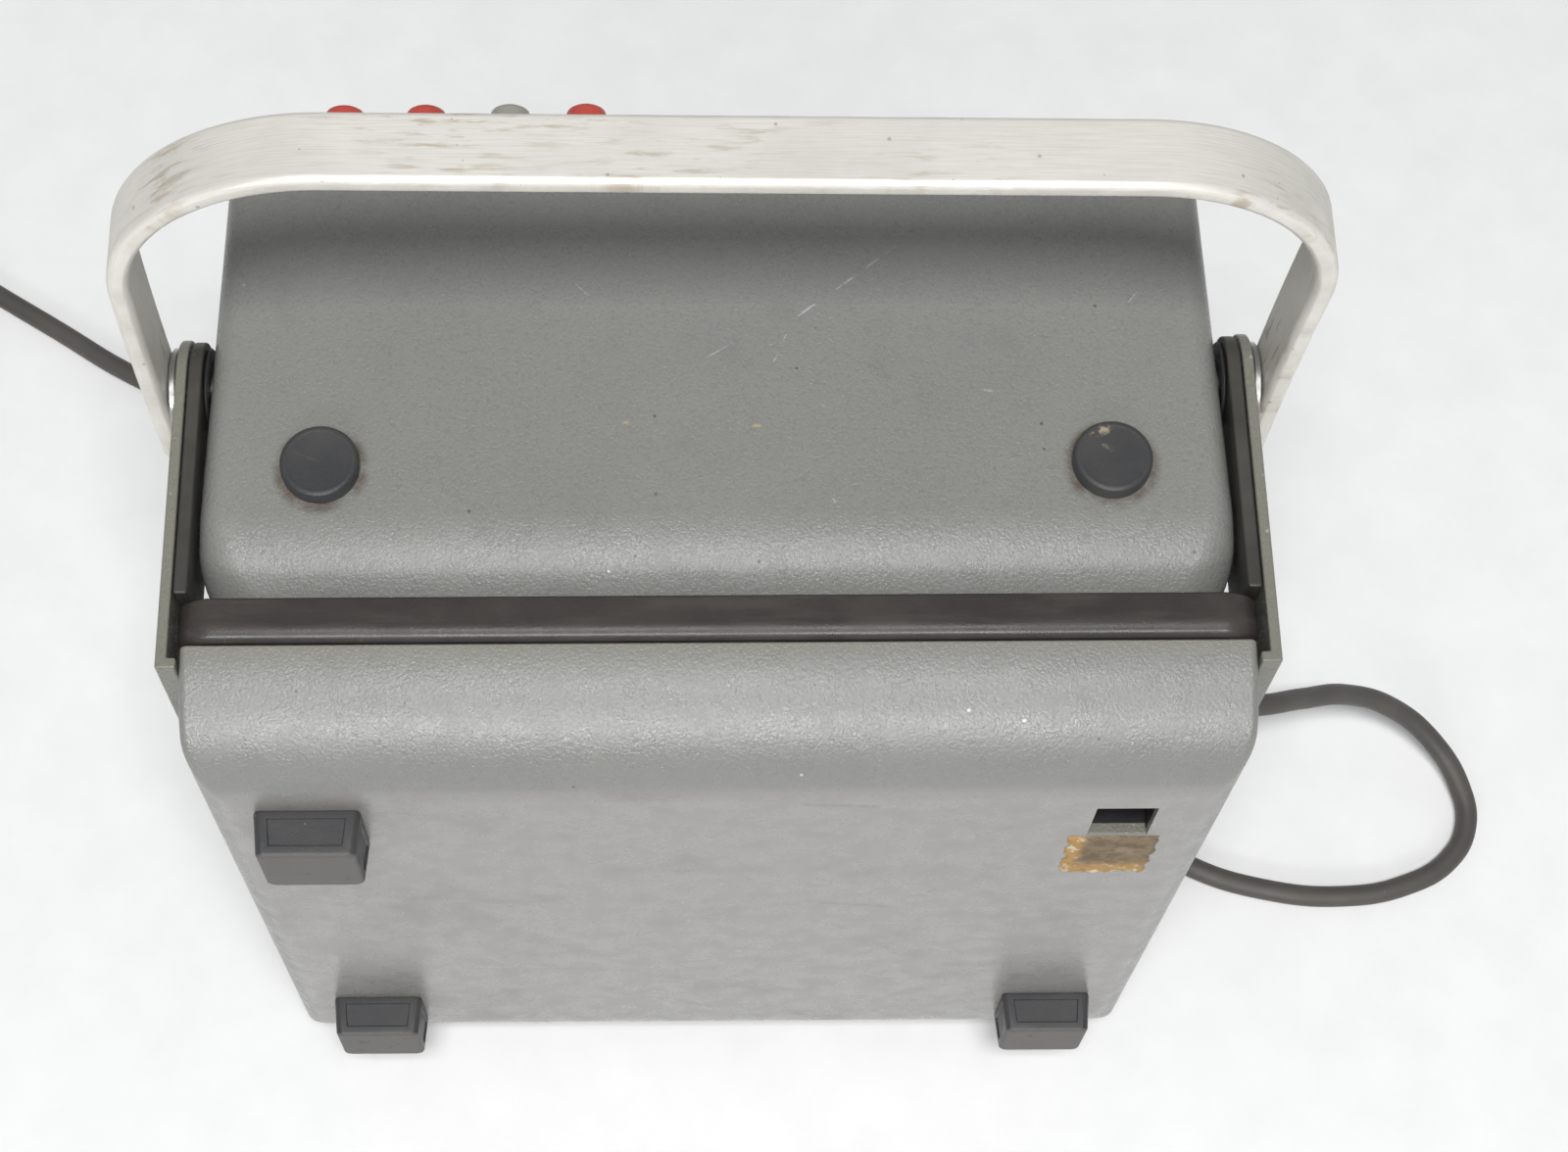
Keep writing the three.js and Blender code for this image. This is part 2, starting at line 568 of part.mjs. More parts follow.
// The cord's route along the table, from the strain relief to the coil.
const CORD_ROUTE = [
  [151.2, 86, 62], [165, 87.8, 58.5], [180, 93.6, 48.5], [197, 99.6, 36], [214, 99.8, 23.5],
  [228.5, 92.5, 12.5], [237.2, 80, 5.6], [238.4, 68, 3.5], [231.8, 56.6, 3.4], [217, 48.3, 3.4],
  [197, 44.9, 3.4], [173, 47.3, 3.4], [150.5, 55, 3.4], [135, 66, 3.4], [127.5, 82, 3.4],
  [126, 102, 3.4], [126.2, 126, 3.4], [125.5, 152, 3.4], [120, 178, 3.4], [106, 201, 3.4],
  [84, 217, 3.4], [54, 225, 3.4], [14, 227, 3.4], [-32, 224, 3.4], [-80, 216.5, 3.4],
  [-122, 211.5, 3.4], [-160, 215, 3.4], [-194, 231, 3.4], [-218, 246.6, 3.4], [-250.3, 267.8, 3.6],
]

function mainsCord() {
  const path = new THREE.CatmullRomCurve3(CORD_ROUTE.map((point) => new THREE.Vector3(...point)))
  const section = new THREE.Shape()
  const sides = 8
  for (let i = 0; i < sides; i++) {
    const angle = ((i + 0.5) * 2 * Math.PI) / sides
    const [u, v] = [Math.cos(angle), Math.sin(angle)].map((value) => (value * CORD_DIAMETER) / 2)
    if (i) section.lineTo(u, v)
    else section.moveTo(u, v)
  }
  return solid(new THREE.ExtrudeGeometry(section, { steps: 58, bevelEnabled: false, extrudePath: path }))
}

function cordCoil() {
  const profile = [
    [COIL_INNER, COIL_LOW], [COIL_OUTER, COIL_LOW], [COIL_OUTER, COIL_HIGH], [COIL_INNER, COIL_HIGH],
    [COIL_INNER, COIL_LOW],
  ]
  const points = profile.map(([radius, height]) => new THREE.Vector2(radius, height))
  const geometry = new THREE.LatheGeometry(points, 24)
  geometry.rotateX(Math.PI / 2)
  geometry.translate(COIL_CENTRE[0], COIL_CENTRE[1], 0)
  return solid(geometry)
}

// The tie is a flat band round the coil's turns, under the plug's edge.
function cordTie() {
  const [cx, cy] = COIL_CENTRE
  const [low, high] = [cy - COIL_OUTER - 1.3, cy - COIL_INNER + 2.3]
  const outer = block(cx - 6, cx + 6, low, high, COIL_LOW - 1.2, COIL_HIGH + 1.2)
  const inner = block(cx - 7, cx + 7, low + 0.8, high - 0.8, COIL_LOW - GAP, COIL_HIGH + GAP)
  return outer.subtract(inner)
}

// The plug lies on the coil. Its axis runs across the coil, beside the coil's centre.
const PLUG = { offset: -21, start: -8.7, sleeve: 22, body: 36, halfWidth: 17.5, halfHeight: 7, pin: 19 }
const PLUG_HEIGHT = COIL_HIGH + GAP + PLUG.halfHeight + 1.2
const PLUG_TURN = THREE.MathUtils.degToRad(-90)

function plugPlaced(manifold) {
  const geometry = geometryOf(manifold)
  geometry.translate(0, PLUG.offset, 0)
  geometry.rotateZ(PLUG_TURN)
  geometry.translate(COIL_CENTRE[0], COIL_CENTRE[1], PLUG_HEIGHT)
  return solid(geometry)
}

function plugBody() {
  const { start, sleeve, body, halfWidth, halfHeight } = PLUG
  const face = start + sleeve
  const profile = [[0, start], [4.4, start], [5.8, face], [5.8, face + 4], [0, face + 4]]
  const tail = turned('x', profile, [0, 0, 0], 16)
  const outline = roundedRectangle(face + body / 2, 0, body / 2, halfWidth, 6)
  return plugPlaced(tail.add(prism('z', outline, -halfHeight, halfHeight, 3)))
}

// The two pins stand on a thin bridge on the plug's face.
function plugPins() {
  const { start, sleeve, body, pin } = PLUG
  const low = start + sleeve + body + GAP
  const pins = [-9.5, 9.5].map((y) => disc('x', 2.2, low, low + pin, [0, y, 0], 14))
  return plugPlaced(join([block(low, low + 0.6, -12, 12, -3, 3), ...pins]))
}

// ---- Assembly ----

const model = new THREE.Group()
model.position.y = -CENTRE_DEPTH

function add(name, manifold, material) {
  const mesh = new THREE.Mesh(geometryOf(manifold), material)
  mesh.name = name
  model.add(mesh)
}

add('body_shell', bodyShell(), ENAMEL)
add('front_panel', frontPanel(), PANEL_PAINT)
SCREW_PLACES.forEach((place, i) => add(`panel_screw_${i + 1}`, panelScrew(place), STEEL))
add('chassis', chassis(), STEEL)
add('transformer_core', transformerCore(), CORE_STEEL)
add('transformer_coil', transformerCoil(), COPPER)
add('circuit_board', circuitBoard(), BOARD)
add('component_strip', componentStrip(), GREY_PLASTIC)
add('capacitor', capacitor(), ALUMINIUM)
add('meter_case', meterCase(), BLACK_PLASTIC)
add('meter_dial', meterDial(), DIAL_WHITE)
add('meter_glass', meterGlass(), GLASS)
add('meter_needle', meterNeedle(), BLACK_PLASTIC)
add('range_knob', knob(LAYOUT.rangeKnob, 19, 17), BLACK_PLASTIC)
add('set_knob', knob(LAYOUT.setKnob, 12, 14), BLACK_PLASTIC)
add('power_switch', toggleBody(), STEEL)
add('switch_lever', toggleLever(), STEEL)
add('pilot_lamp', pilotLamp(), RED_PLASTIC)
add('fuse_holder', fuseHolder(), BLACK_PLASTIC)
POST_X.forEach((x, i) => add(`post_stud_${i + 1}`, postStud(x), BRASS))
POST_X.forEach((x, i) => add(`post_cap_${i + 1}`, postCap(x), i === 2 ? GREY_PLASTIC : RED_PLASTIC))
for (const [end, x] of [['left', -ROUND_FOOT_X], ['right', ROUND_FOOT_X]]) {
  add(`top_foot_${end}`, roundFoot(x, ROUND_FOOT_DEPTH, CASE_HIGH + GAP, true), RUBBER)
  add(`base_foot_rear_${end}`, roundFoot(x, ROUND_FOOT_DEPTH, CASE_LOW - GAP, false), RUBBER)
  add(`base_foot_front_${end}`, roundFoot(x, FRONT_FOOT_DEPTH, CASE_LOW - GAP, false), RUBBER)
}

add('tray_shell', trayShell(), ENAMEL)
add('tray_seal', traySeal(), SEAL_RUBBER)
add('rect_foot_upper_left', rectFoot(-RECT_FOOT_X, RECT_FOOT_HIGH_Z), RUBBER)
add('rect_foot_lower_left', rectFoot(-RECT_FOOT_X, RECT_FOOT_LOW_Z), RUBBER)
add('rect_foot_lower_right', rectFoot(RECT_FOOT_X, RECT_FOOT_LOW_Z), RUBBER)

const INNER_WASHER = [119.7, ARM_OUTER - ARM_THICK - 2 * GAP - BAR_THICK]
const OUTER_WASHER = [ARM_OUTER + GAP, HANDLE_OUTER - HANDLE_THICK - GAP]
for (const [end, side] of [['left', -1], ['right', 1]]) {
  add(`arm_${end}`, arm(side), ARM_PAINT)
  add(`arm_bar_${end}`, armBar(side), BLACK_BAR)
  add(`arm_rivet_${end}`, armRivet(side), STEEL)
  add(`pivot_screw_${end}`, pivotScrew(side), STEEL)
  add(`inner_washer_${end}`, washerRing(...bothSides(...INNER_WASHER, side)), BLACK_PLASTIC)
  add(`outer_washer_${end}`, washerRing(...bothSides(...OUTER_WASHER, side)), STEEL)
}
add('handle_strap', handleStrap(), ALUMINIUM)

add('strain_relief', strainRelief(), CORD_RUBBER)
add('mains_cord', mainsCord(), CORD_RUBBER)
add('cord_coil', cordCoil(), CORD_RUBBER)
add('cord_tie', cordTie(), BLACK_PLASTIC)
add('plug_body', plugBody(), CORD_RUBBER)
add('plug_pins', plugPins(), BRASS)

export default model
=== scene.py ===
import math

import bmesh
import bpy
from mathutils import Matrix, Vector, noise


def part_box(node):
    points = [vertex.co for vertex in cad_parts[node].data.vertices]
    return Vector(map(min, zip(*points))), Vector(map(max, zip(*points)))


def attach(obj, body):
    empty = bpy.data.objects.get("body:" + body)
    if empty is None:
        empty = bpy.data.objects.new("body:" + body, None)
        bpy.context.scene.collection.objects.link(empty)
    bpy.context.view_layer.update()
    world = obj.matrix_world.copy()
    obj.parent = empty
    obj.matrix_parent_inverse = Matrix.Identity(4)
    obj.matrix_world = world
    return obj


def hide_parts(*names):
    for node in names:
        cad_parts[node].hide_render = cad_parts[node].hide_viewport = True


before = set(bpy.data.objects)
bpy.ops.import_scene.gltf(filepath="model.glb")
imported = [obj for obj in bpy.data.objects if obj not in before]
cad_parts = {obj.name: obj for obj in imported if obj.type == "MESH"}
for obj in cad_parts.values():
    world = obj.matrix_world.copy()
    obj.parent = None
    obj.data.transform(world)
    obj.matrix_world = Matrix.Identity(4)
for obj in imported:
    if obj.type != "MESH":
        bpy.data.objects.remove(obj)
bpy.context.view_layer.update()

# A portable test instrument, seen from behind and above. Shapes are worked out in millimetres: X across,
# the depth from the rear tray's flat face along +Y, and the height above the table. piece() puts them into
# the frame, in metres.

MM = 0.001
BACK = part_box("tray_shell")[0].y


def row(x, depth, height):
    return Vector((x * MM, BACK + depth * MM, height * MM))


def span(node):
    """The lowest and highest corner of a CAD node, in millimetres, with the depth in place of Y."""
    low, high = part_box(node)
    return [Vector((p.x, p.y - BACK, p.z)) / MM for p in (low, high)]


# ---- Camera ----

camera_data = bpy.data.cameras.new("camera")
camera_data.lens = 64.85
camera_data.sensor_width = 36
camera_data.shift_x = 0.0679
camera_data.clip_start = 0.01
camera_data.clip_end = 50
camera = bpy.data.objects.new("camera", camera_data)
bpy.context.scene.collection.objects.link(camera)
TILT, ROLL = math.radians(23.35), math.radians(-0.36)
turn = Matrix.Rotation(TILT, 4, "X") @ Matrix.Rotation(ROLL, 4, "Z")
camera.matrix_world = Matrix.Translation((-0.0091, -0.29534, 0.85074)) @ turn
bpy.context.scene.camera = camera

# ---- Shader groups ----


def node(tree, kind, inputs=None, **settings):
    made = tree.nodes.new("ShaderNode" + kind)
    for name, value in settings.items():
        setattr(made, name, value)
    for name, value in (inputs or {}).items():
        if isinstance(value, bpy.types.NodeSocket):
            tree.links.new(value, made.inputs[name])
        else:
            made.inputs[name].default_value = value
    return made


def maths(tree, operation, a, b=0.0, clamp=False):
    return node(tree, "Math", {0: a, 1: b}, operation=operation, use_clamp=clamp).outputs[0]


def ranged(tree, value, low, high, to_low=0.0, to_high=1.0):
    inputs = {"Value": value, "From Min": low, "From Max": high, "To Min": to_low, "To Max": to_high}
    return node(tree, "MapRange", inputs, interpolation_type="SMOOTHSTEP").outputs[0]


def mixed(tree, factor, a, b):
    made = node(tree, "Mix", {0: factor, 6: a, 7: b}, data_type="RGBA")
    return made.outputs[2]


def new_group(name, inputs, outputs):
    group = bpy.data.node_groups.new(name, "ShaderNodeTree")
    for socket, (kind, value) in inputs.items():
        made = group.interface.new_socket(socket, in_out="INPUT", socket_type="NodeSocket" + kind)
        if value is not None:
            made.default_value = value
    for socket in outputs:
        group.interface.new_socket(socket, in_out="OUTPUT", socket_type="NodeSocketFloat")
    return group, group.nodes.new("NodeGroupInput").outputs, group.nodes.new("NodeGroupOutput").inputs


def noise_at(tree, place, scale, detail=3.0, roughness=0.55):
    inputs = {"Vector": place, "Scale": scale, "Detail": detail, "Roughness": roughness}
    return node(tree, "TexNoise", inputs).outputs["Fac"]


def make_wrinkle_group():
    """Wrinkle enamel: small rounded blisters over a finer unevenness. Its second output marks the low parts,
    where the finishes paint shade.
    """
    inputs = {"Place": ("Vector", None), "Scale": ("Float", 700.0)}
    group, given, result = new_group("wrinkle", inputs, ["Height", "Pit_shade"])
    wobble = node(group, "TexNoise", {"Vector": given["Place"], "Scale": given["Scale"], "Detail": 2.0})
    shift = node(group, "VectorMath", {0: wobble.outputs["Color"], 1: (0.0012,) * 3}, operation="MULTIPLY")
    place = node(group, "VectorMath", {0: given["Place"], 1: shift.outputs[0]}, operation="ADD").outputs[0]
    cells = node(group, "TexVoronoi", {"Vector": place, "Scale": given["Scale"], "Smoothness": 0.6},
                 feature="SMOOTH_F1").outputs["Distance"]
    fine = noise_at(group, place, maths(group, "MULTIPLY", given["Scale"], 1.7), 4.0)
    bumps = maths(group, "SUBTRACT", 1.0, cells, clamp=True)
    height = maths(group, "ADD", maths(group, "MULTIPLY", bumps, 0.6), maths(group, "MULTIPLY", fine, 0.7))
    group.links.new(height, result["Height"])
    group.links.new(ranged(group, height, 0.62, 0.45), result["Pit_shade"])
    return group


def make_stain_group():
    """Soft-edged patches. Amount is the share of the surface that they cover."""
    inputs = {"Place": ("Vector", None), "Scale": ("Float", 20.0), "Amount": ("Float", 0.4),
              "Edge": ("Float", 0.15)}
    group, given, result = new_group("stain", inputs, ["Mask"])
    cloud = noise_at(group, given["Place"], given["Scale"], 6.0, 0.6)
    level = maths(group, "SUBTRACT", 0.78, maths(group, "MULTIPLY", given["Amount"], 0.56))
    low = maths(group, "SUBTRACT", level, given["Edge"])
    high = maths(group, "ADD", level, given["Edge"])
    group.links.new(ranged(group, cloud, low, high), result["Mask"])
    return group


def make_speck_group():
    """Scattered round specks, such as dust and chips."""
    inputs = {"Place": ("Vector", None), "Scale": ("Float", 200.0), "Size": ("Float", 0.1),
              "Share": ("Float", 0.2)}
    group, given, result = new_group("speck", inputs, ["Mask"])
    cells = node(group, "TexVoronoi", {"Vector": given["Place"], "Scale": given["Scale"]})
    pick = node(group, "SeparateColor", {0: cells.outputs["Color"]}).outputs[0]
    chosen = maths(group, "LESS_THAN", pick, given["Share"])
    dot = ranged(group, cells.outputs["Distance"], given["Size"],
                 maths(group, "MULTIPLY", given["Size"], 0.5))
    group.links.new(maths(group, "MULTIPLY", dot, chosen), result["Mask"])
    return group


def make_scratch_and_glint_group():
    """One thin line from one point to another that fades and breaks up along its length. It draws scratches,
    and also painted highlights.
    """
    inputs = {"Place": ("Vector", None), "From": ("Vector", None), "To": ("Vector", None),
              "Width": ("Float", 0.0003)}
    group, given, result = new_group("scratch_and_glint", inputs, ["Mask"])
    reach = node(group, "VectorMath", {0: given["To"], 1: given["From"]}, operation="SUBTRACT").outputs[0]
    away = node(group, "VectorMath", {0: given["Place"], 1: given["From"]}, operation="SUBTRACT").outputs[0]
    dot = node(group, "VectorMath", {0: away, 1: reach}, operation="DOT_PRODUCT").outputs["Value"]
    square = node(group, "VectorMath", {0: reach, 1: reach}, operation="DOT_PRODUCT").outputs["Value"]
    share = maths(group, "DIVIDE", dot, square, clamp=True)
    near = node(group, "VectorMath", {0: reach, "Scale": share}, operation="SCALE").outputs[0]
    gap = node(group, "VectorMath", {0: away, 1: near}, operation="DISTANCE").outputs["Value"]
    ragged = noise_at(group, given["Place"], 900.0, 2.0)
    width = maths(group, "MULTIPLY", given["Width"], maths(group, "MULTIPLY", ragged, 2.0))
    line = ranged(group, gap, width, 0.0)
    broken = ranged(group, noise_at(group, given["Place"], 260.0, 2.0), 0.40, 0.52)
    group.links.new(maths(group, "MULTIPLY", line, broken), result["Mask"])
    return group


WRINKLE = make_wrinkle_group()
STAIN = make_stain_group()
SPECK = make_speck_group()
SCRATCH_AND_GLINT = make_scratch_and_glint_group()

# ---- Finishes ----


class Finish:
    """A material on Object coordinates. Its layers build up colour and roughness, and close() joins them."""

    def __init__(self, name, colour, roughness, metallic=0.0, stretch=(1, 1, 1)):
        self.material = bpy.data.materials.new(name)
        self.material.use_nodes = True
        self.tree = self.material.node_tree
        self.shader = self.tree.nodes["Principled BSDF"]
        self.shader.inputs["Metallic"].default_value = metallic
        where = node(self.tree, "TexCoord").outputs["Object"]
        self.here = where
        self.place = node(self.tree, "Mapping", {"Vector": where, "Scale": stretch}).outputs[0]
        tone = noise_at(self.tree, self.place, 45.0, 5.0)
        light, dark = [(*[c * k for c in colour], 1) for k in (1.06, 0.94)]
        self.colour = mixed(self.tree, tone, light, dark)
        self.roughness = ranged(self.tree, noise_at(self.tree, self.place, 120.0), 0.3, 0.7,
                                roughness - 0.05, roughness + 0.07)
        self.height = None

    def group(self, group, inputs=None, place=None):
        made = node(self.tree, "Group", node_tree=group)
        self.tree.links.new(place or self.place, made.inputs["Place"])
        for name, value in (inputs or {}).items():
            made.inputs[name].default_value = value
        return made.outputs

    def layer(self, mask, colour, strength=1.0, roughness=None):
        factor = maths(self.tree, "MULTIPLY", mask, strength)
        self.colour = mixed(self.tree, factor, self.colour, (*colour, 1))
        if roughness is not None:
            ways = {0: factor, 2: self.roughness, 3: roughness}
            self.roughness = node(self.tree, "Mix", ways, data_type="FLOAT").outputs[0]
        return self

    def stains(self, colour, scale, amount, strength=0.5, edge=0.12, roughness=None):
        mask = self.group(STAIN, {"Scale": scale, "Amount": amount, "Edge": edge})["Mask"]
        return self.layer(mask, colour, strength, roughness)

    def specks(self, colour, scale, size, share, strength=0.8):
        mask = self.group(SPECK, {"Scale": scale, "Size": size, "Share": share}, self.here)["Mask"]
        return self.layer(mask, colour, strength)

    def scratch_and_glint(self, colour, start, end, width=0.0004, strength=0.6):
        made = self.group(SCRATCH_AND_GLINT, {"From": row(*start), "To": row(*end), "Width": width}, self.here)
        return self.layer(made["Mask"], colour, strength)

    def dirt_and_contact_shade_ring(self, colour, centre, inner, outer, strength):
        """A soft dark ring round something that stands on the surface: dirt, and painted contact shade where
        it meets the surface.
        """
        gap = node(self.tree, "VectorMath", {0: self.here, 1: row(*centre)},
                   operation="DISTANCE").outputs["Value"]
        ring = ranged(self.tree, gap, outer * MM, inner * MM)
        cloud = ranged(self.tree, noise_at(self.tree, self.here, 160.0), 0.25, 0.65)
        return self.layer(maths(self.tree, "MULTIPLY", ring, cloud), colour, strength)

    def axis(self, name):
        return node(self.tree, "SeparateXYZ", {0: self.here}).outputs[name]

    def bump(self, height, depth, strength=1.0):
        inputs = {"Height": height, "Distance": depth, "Strength": strength}
        made = node(self.tree, "Bump", inputs)
        if self.height is not None:
            self.tree.links.new(self.height, made.inputs["Normal"])
        self.height = made.outputs[0]
        return self

    def close(self, **sockets):
        self.tree.links.new(self.colour, self.shader.inputs["Base Color"])
        self.tree.links.new(self.roughness, self.shader.inputs["Roughness"])
        if self.height is not None:
            self.tree.links.new(self.height, self.shader.inputs["Normal"])
        for name, value in sockets.items():
            self.shader.inputs[name.replace("_", " ")].default_value = value
        return self.material


def enamel(name, colour, calm_face=False):
    """Wrinkle enamel. The tray's flat face can be made calmer, because it has been worn smooth."""
    made = Finish(name, colour, 0.28)
    wrinkle = made.group(WRINKLE, {"Scale": 1250.0}, made.here)
    # Painted shade: the wrinkle's pits are darkened, as if shaded, less on the tray's calm face.
    made.layer(wrinkle["Pit_shade"], [c * 0.78 for c in colour], 0.2 if calm_face else 0.55)
    made.stains([c * 1.12 for c in colour], 14.0, 0.45, 0.35, 0.2)
    made.stains([c * 0.8 for c in colour], 60.0, 0.25, 0.35, 0.08)
    made.specks((0.75, 0.75, 0.72), 160.0, 0.10, 0.05)
    made.specks((0.07, 0.065, 0.06), 210.0, 0.12, 0.06)
    strength = ranged(made.tree, made.axis("Y"), BACK + 0.0004, BACK + 0.0020, 0.15,
                      0.8) if calm_face else 0.8
    made.bump(wrinkle["Height"], 0.00021, strength)
    return made


CASE_COLOUR = (0.216, 0.218, 0.203)


def body_enamel():
    made = enamel("body_enamel", CASE_COLOUR)
    pale = (0.62, 0.63, 0.62)
    strokes = [((20, 112, 258.5), (44, 131, 258.5), 0.0003), ((21, 113, 258.5), (33, 122, 258.5), 0.00025),
               ((-2, 101, 258.5), (11, 109, 258.5), 0.00025), ((14, 100, 258.5), (17, 107, 258.5), 0.0003),
               ((-33, 121, 258.5), (-30, 118, 258.5), 0.0002), ((63, 92, 258.5), (65, 91.6, 258.5), 0.0005),
               ((27, 64, 258.5), (28, 62, 258.5), 0.0003), ((96, 112, 258.5), (101, 118, 258.5), 0.0002)]
    for start, end, width in strokes:
        made.scratch_and_glint(pale, start, end, width, 0.38)
    for x, depth in ((-22, 84), (9, 83), (24, 88)):
        made.scratch_and_glint((0.55, 0.44, 0.14), (x, depth, 258.5), (x + 1.4, depth, 258.5), 0.0006, 0.5)
    # Round each top foot a dark brown ring: dirt, and painted contact shade.
    for x in (-91.8, 91.8):
        made.dirt_and_contact_shade_ring((0.10, 0.078, 0.055), (x, 72.3, 258.5), 9.6, 12.2, 0.9)
    return made.close(Specular_IOR_Level=0.8)


def tray_enamel():
    made = enamel("tray_enamel", CASE_COLOUR, calm_face=True)
    face = ranged(made.tree, made.axis("Y"), BACK + 0.0012, BACK + 0.0002)
    made.layer(face, (0.300, 0.286, 0.272), 0.62)
    smear = made.group(STAIN, {"Scale": 24.0, "Amount": 0.35, "Edge": 0.06})["Mask"]
    made.layer(maths(made.tree, "MULTIPLY", smear, face), (0.16, 0.145, 0.13), 0.30)
    lip = ranged(made.tree, made.axis("Y"), BACK + 0.0225, BACK + 0.0285)
    made.layer(lip, (0.25, 0.235, 0.18), 0.4)
    marks = [((-46, 0, 247), (-38, 0, 252), 0.0004), ((64, 0, 205), (70, 0, 211), 0.0005),
             ((19, 0, 228), (38, 0, 226), 0.0014), ((-20, 0, 120), (-12, 0, 128), 0.0005),
             ((24, 0, 150), (44, 0, 146), 0.0012), ((48, 0, 152), (56, 0, 160), 0.0009)]
    for start, end, width in marks:
        made.scratch_and_glint((0.1, 0.095, 0.09), start, end, width, 0.45)
    # Painted highlights: two short white lines stand in for glints on the tray's edge and corner near its
    # flat face.
    for start, end in (((100, 3.6, 246.5), (106, 2.6, 244.5)), ((104, 7.4, 250.8), (108, 7.0, 250.2))):
        made.scratch_and_glint((0.9, 0.9, 0.88), start, end, 0.0012, 0.9)
    return made.close(Specular_IOR_Level=0.8)


def arm_enamel():
    colour = (0.190, 0.188, 0.155)
    made = enamel("arm_enamel", colour)
    made.stains((0.20, 0.13, 0.07), 70.0, 0.18, 0.5, 0.05)
    made.specks((0.45, 0.45, 0.42), 420.0, 0.25, 0.10, 0.5)
    return made.close()


def panel_enamel():
    made = Finish("panel_enamel", (0.52, 0.53, 0.49), 0.42)
    made.stains((0.42, 0.41, 0.36), 22.0, 0.35, 0.4).specks((0.2, 0.19, 0.17), 300.0, 0.1, 0.05)
    return made.bump(noise_at(made.tree, made.place, 1800.0, 4.0), 0.00008).close()


def brushed_aluminium():
    """The grain and the brown streaks run along the strap, whose length the mesh carries as an attribute."""
    made = Finish("brushed_aluminium", (0.84, 0.82, 0.75), 0.42, 0.35)
    run = node(made.tree, "Attribute", attribute_name="run").outputs["Fac"]
    across = made.axis("Y")
    lines = node(made.tree, "CombineXYZ", {0: maths(made.tree, "MULTIPLY", run, 0.025), 1: across})
    fine = noise_at(made.tree, lines.outputs[0], 2600.0, 5.0, 0.7)
    made.layer(ranged(made.tree, fine, 0.35, 0.7), (0.62, 0.60, 0.55), 0.5)
    streaks = node(made.tree, "CombineXYZ", {0: maths(made.tree, "MULTIPLY", run, 0.16), 1: across, 2: 0.3})
    brown = made.group(STAIN, {"Scale": 520.0, "Amount": 0.36, "Edge": 0.07}, streaks.outputs[0])["Mask"]
    patch = ranged(made.tree, noise_at(made.tree, made.here, 20.0, 3.0), 0.42, 0.62)
    made.layer(maths(made.tree, "MULTIPLY", brown, patch), (0.40, 0.29, 0.18), 0.62, 0.5)
    made.specks((0.22, 0.14, 0.08), 260.0, 0.16, 0.10, 0.55)
    made.stains((0.60, 0.58, 0.53), 30.0, 0.35, 0.45, 0.15)
    made.specks((0.15, 0.13, 0.11), 420.0, 0.12, 0.06, 0.4)
    made.bump(fine, 0.00006, 0.5)
    made.bump(noise_at(made.tree, made.here, 400.0), 0.00006, 0.4)
    return made.close()


def steel(name="steel", colour=(0.46, 0.46, 0.45), roughness=0.34):
    made = Finish(name, colour, roughness, 0.95)
    made.stains((0.20, 0.18, 0.15), 90.0, 0.25, 0.5, 0.08, 0.6).specks((0.12, 0.09, 0.06), 500.0, 0.2, 0.08)
    return made.bump(noise_at(made.tree, made.place, 2400.0, 4.0), 0.00004).close()


def brass():
    made = Finish("brass", (0.62, 0.46, 0.20), 0.32, 0.95)
    made.stains((0.30, 0.20, 0.09), 110.0, 0.3, 0.5, 0.1, 0.5)
    return made.bump(noise_at(made.tree, made.place, 2200.0, 4.0), 0.00004).close()


def rubber(name, colour, dust, roughness=0.55, dusty=0.35):
    made = Finish(name, colour, roughness)
    made.stains(dust, 55.0, 0.4, dusty, 0.2, roughness + 0.15)
    made.specks([min(1, c * 3) for c in dust], 520.0, 0.13, 0.07, 0.6)
    made.bump(noise_at(made.tree, made.place, 1500.0, 5.0), 0.00012, 0.6)
    return made


def foot_rubber():
    made = rubber("foot_rubber", (0.040, 0.041, 0.044), (0.085, 0.080, 0.072), 0.44)
    contact = ranged(made.tree, made.axis("Y"), BACK - 0.0100, BACK - 0.0108)
    made.layer(contact, (0.125, 0.118, 0.108), 0.8, 0.6)
    worn = made.group(STAIN, {"Scale": 190.0, "Amount": 0.22, "Edge": 0.04})["Mask"]
    made.layer(maths(made.tree, "MULTIPLY", worn, contact), (0.03, 0.028, 0.026), 0.85)
    made.scratch_and_glint((0.40, 0.34, 0.24), (87.5, 78.6, 263), (90.5, 79.5, 263), 0.0016, 0.9)
    made.scratch_and_glint((0.30, 0.27, 0.21), (89.5, 75.4, 263), (91.5, 74.2, 263), 0.0008, 0.8)
    made.scratch_and_glint((0.08, 0.08, 0.08), (-98, 75, 263), (-91.5, 72.3, 263), 0.0005, 0.6)
    return made.close()


def plastic(name, colour, roughness=0.36):
    made = Finish(name, colour, roughness)
    made.stains([c * 0.72 for c in colour], 80.0, 0.3, 0.45).specks((0.45, 0.43, 0.4), 600.0, 0.12, 0.05,
                                                                    0.4)
    return made.bump(noise_at(made.tree, made.place, 1900.0, 3.0), 0.00005).close()


def core_finish():
    made = Finish("core_steel", (0.16, 0.15, 0.145), 0.5, 0.7)
    sheets = node(made.tree, "TexWave", {"Vector": made.here, "Scale": 320.0, "Distortion": 0.4},
                  bands_direction="Y")
    made.layer(sheets.outputs["Fac"], (0.07, 0.066, 0.06), 0.7)
    return made.bump(sheets.outputs["Fac"], 0.0001).close()


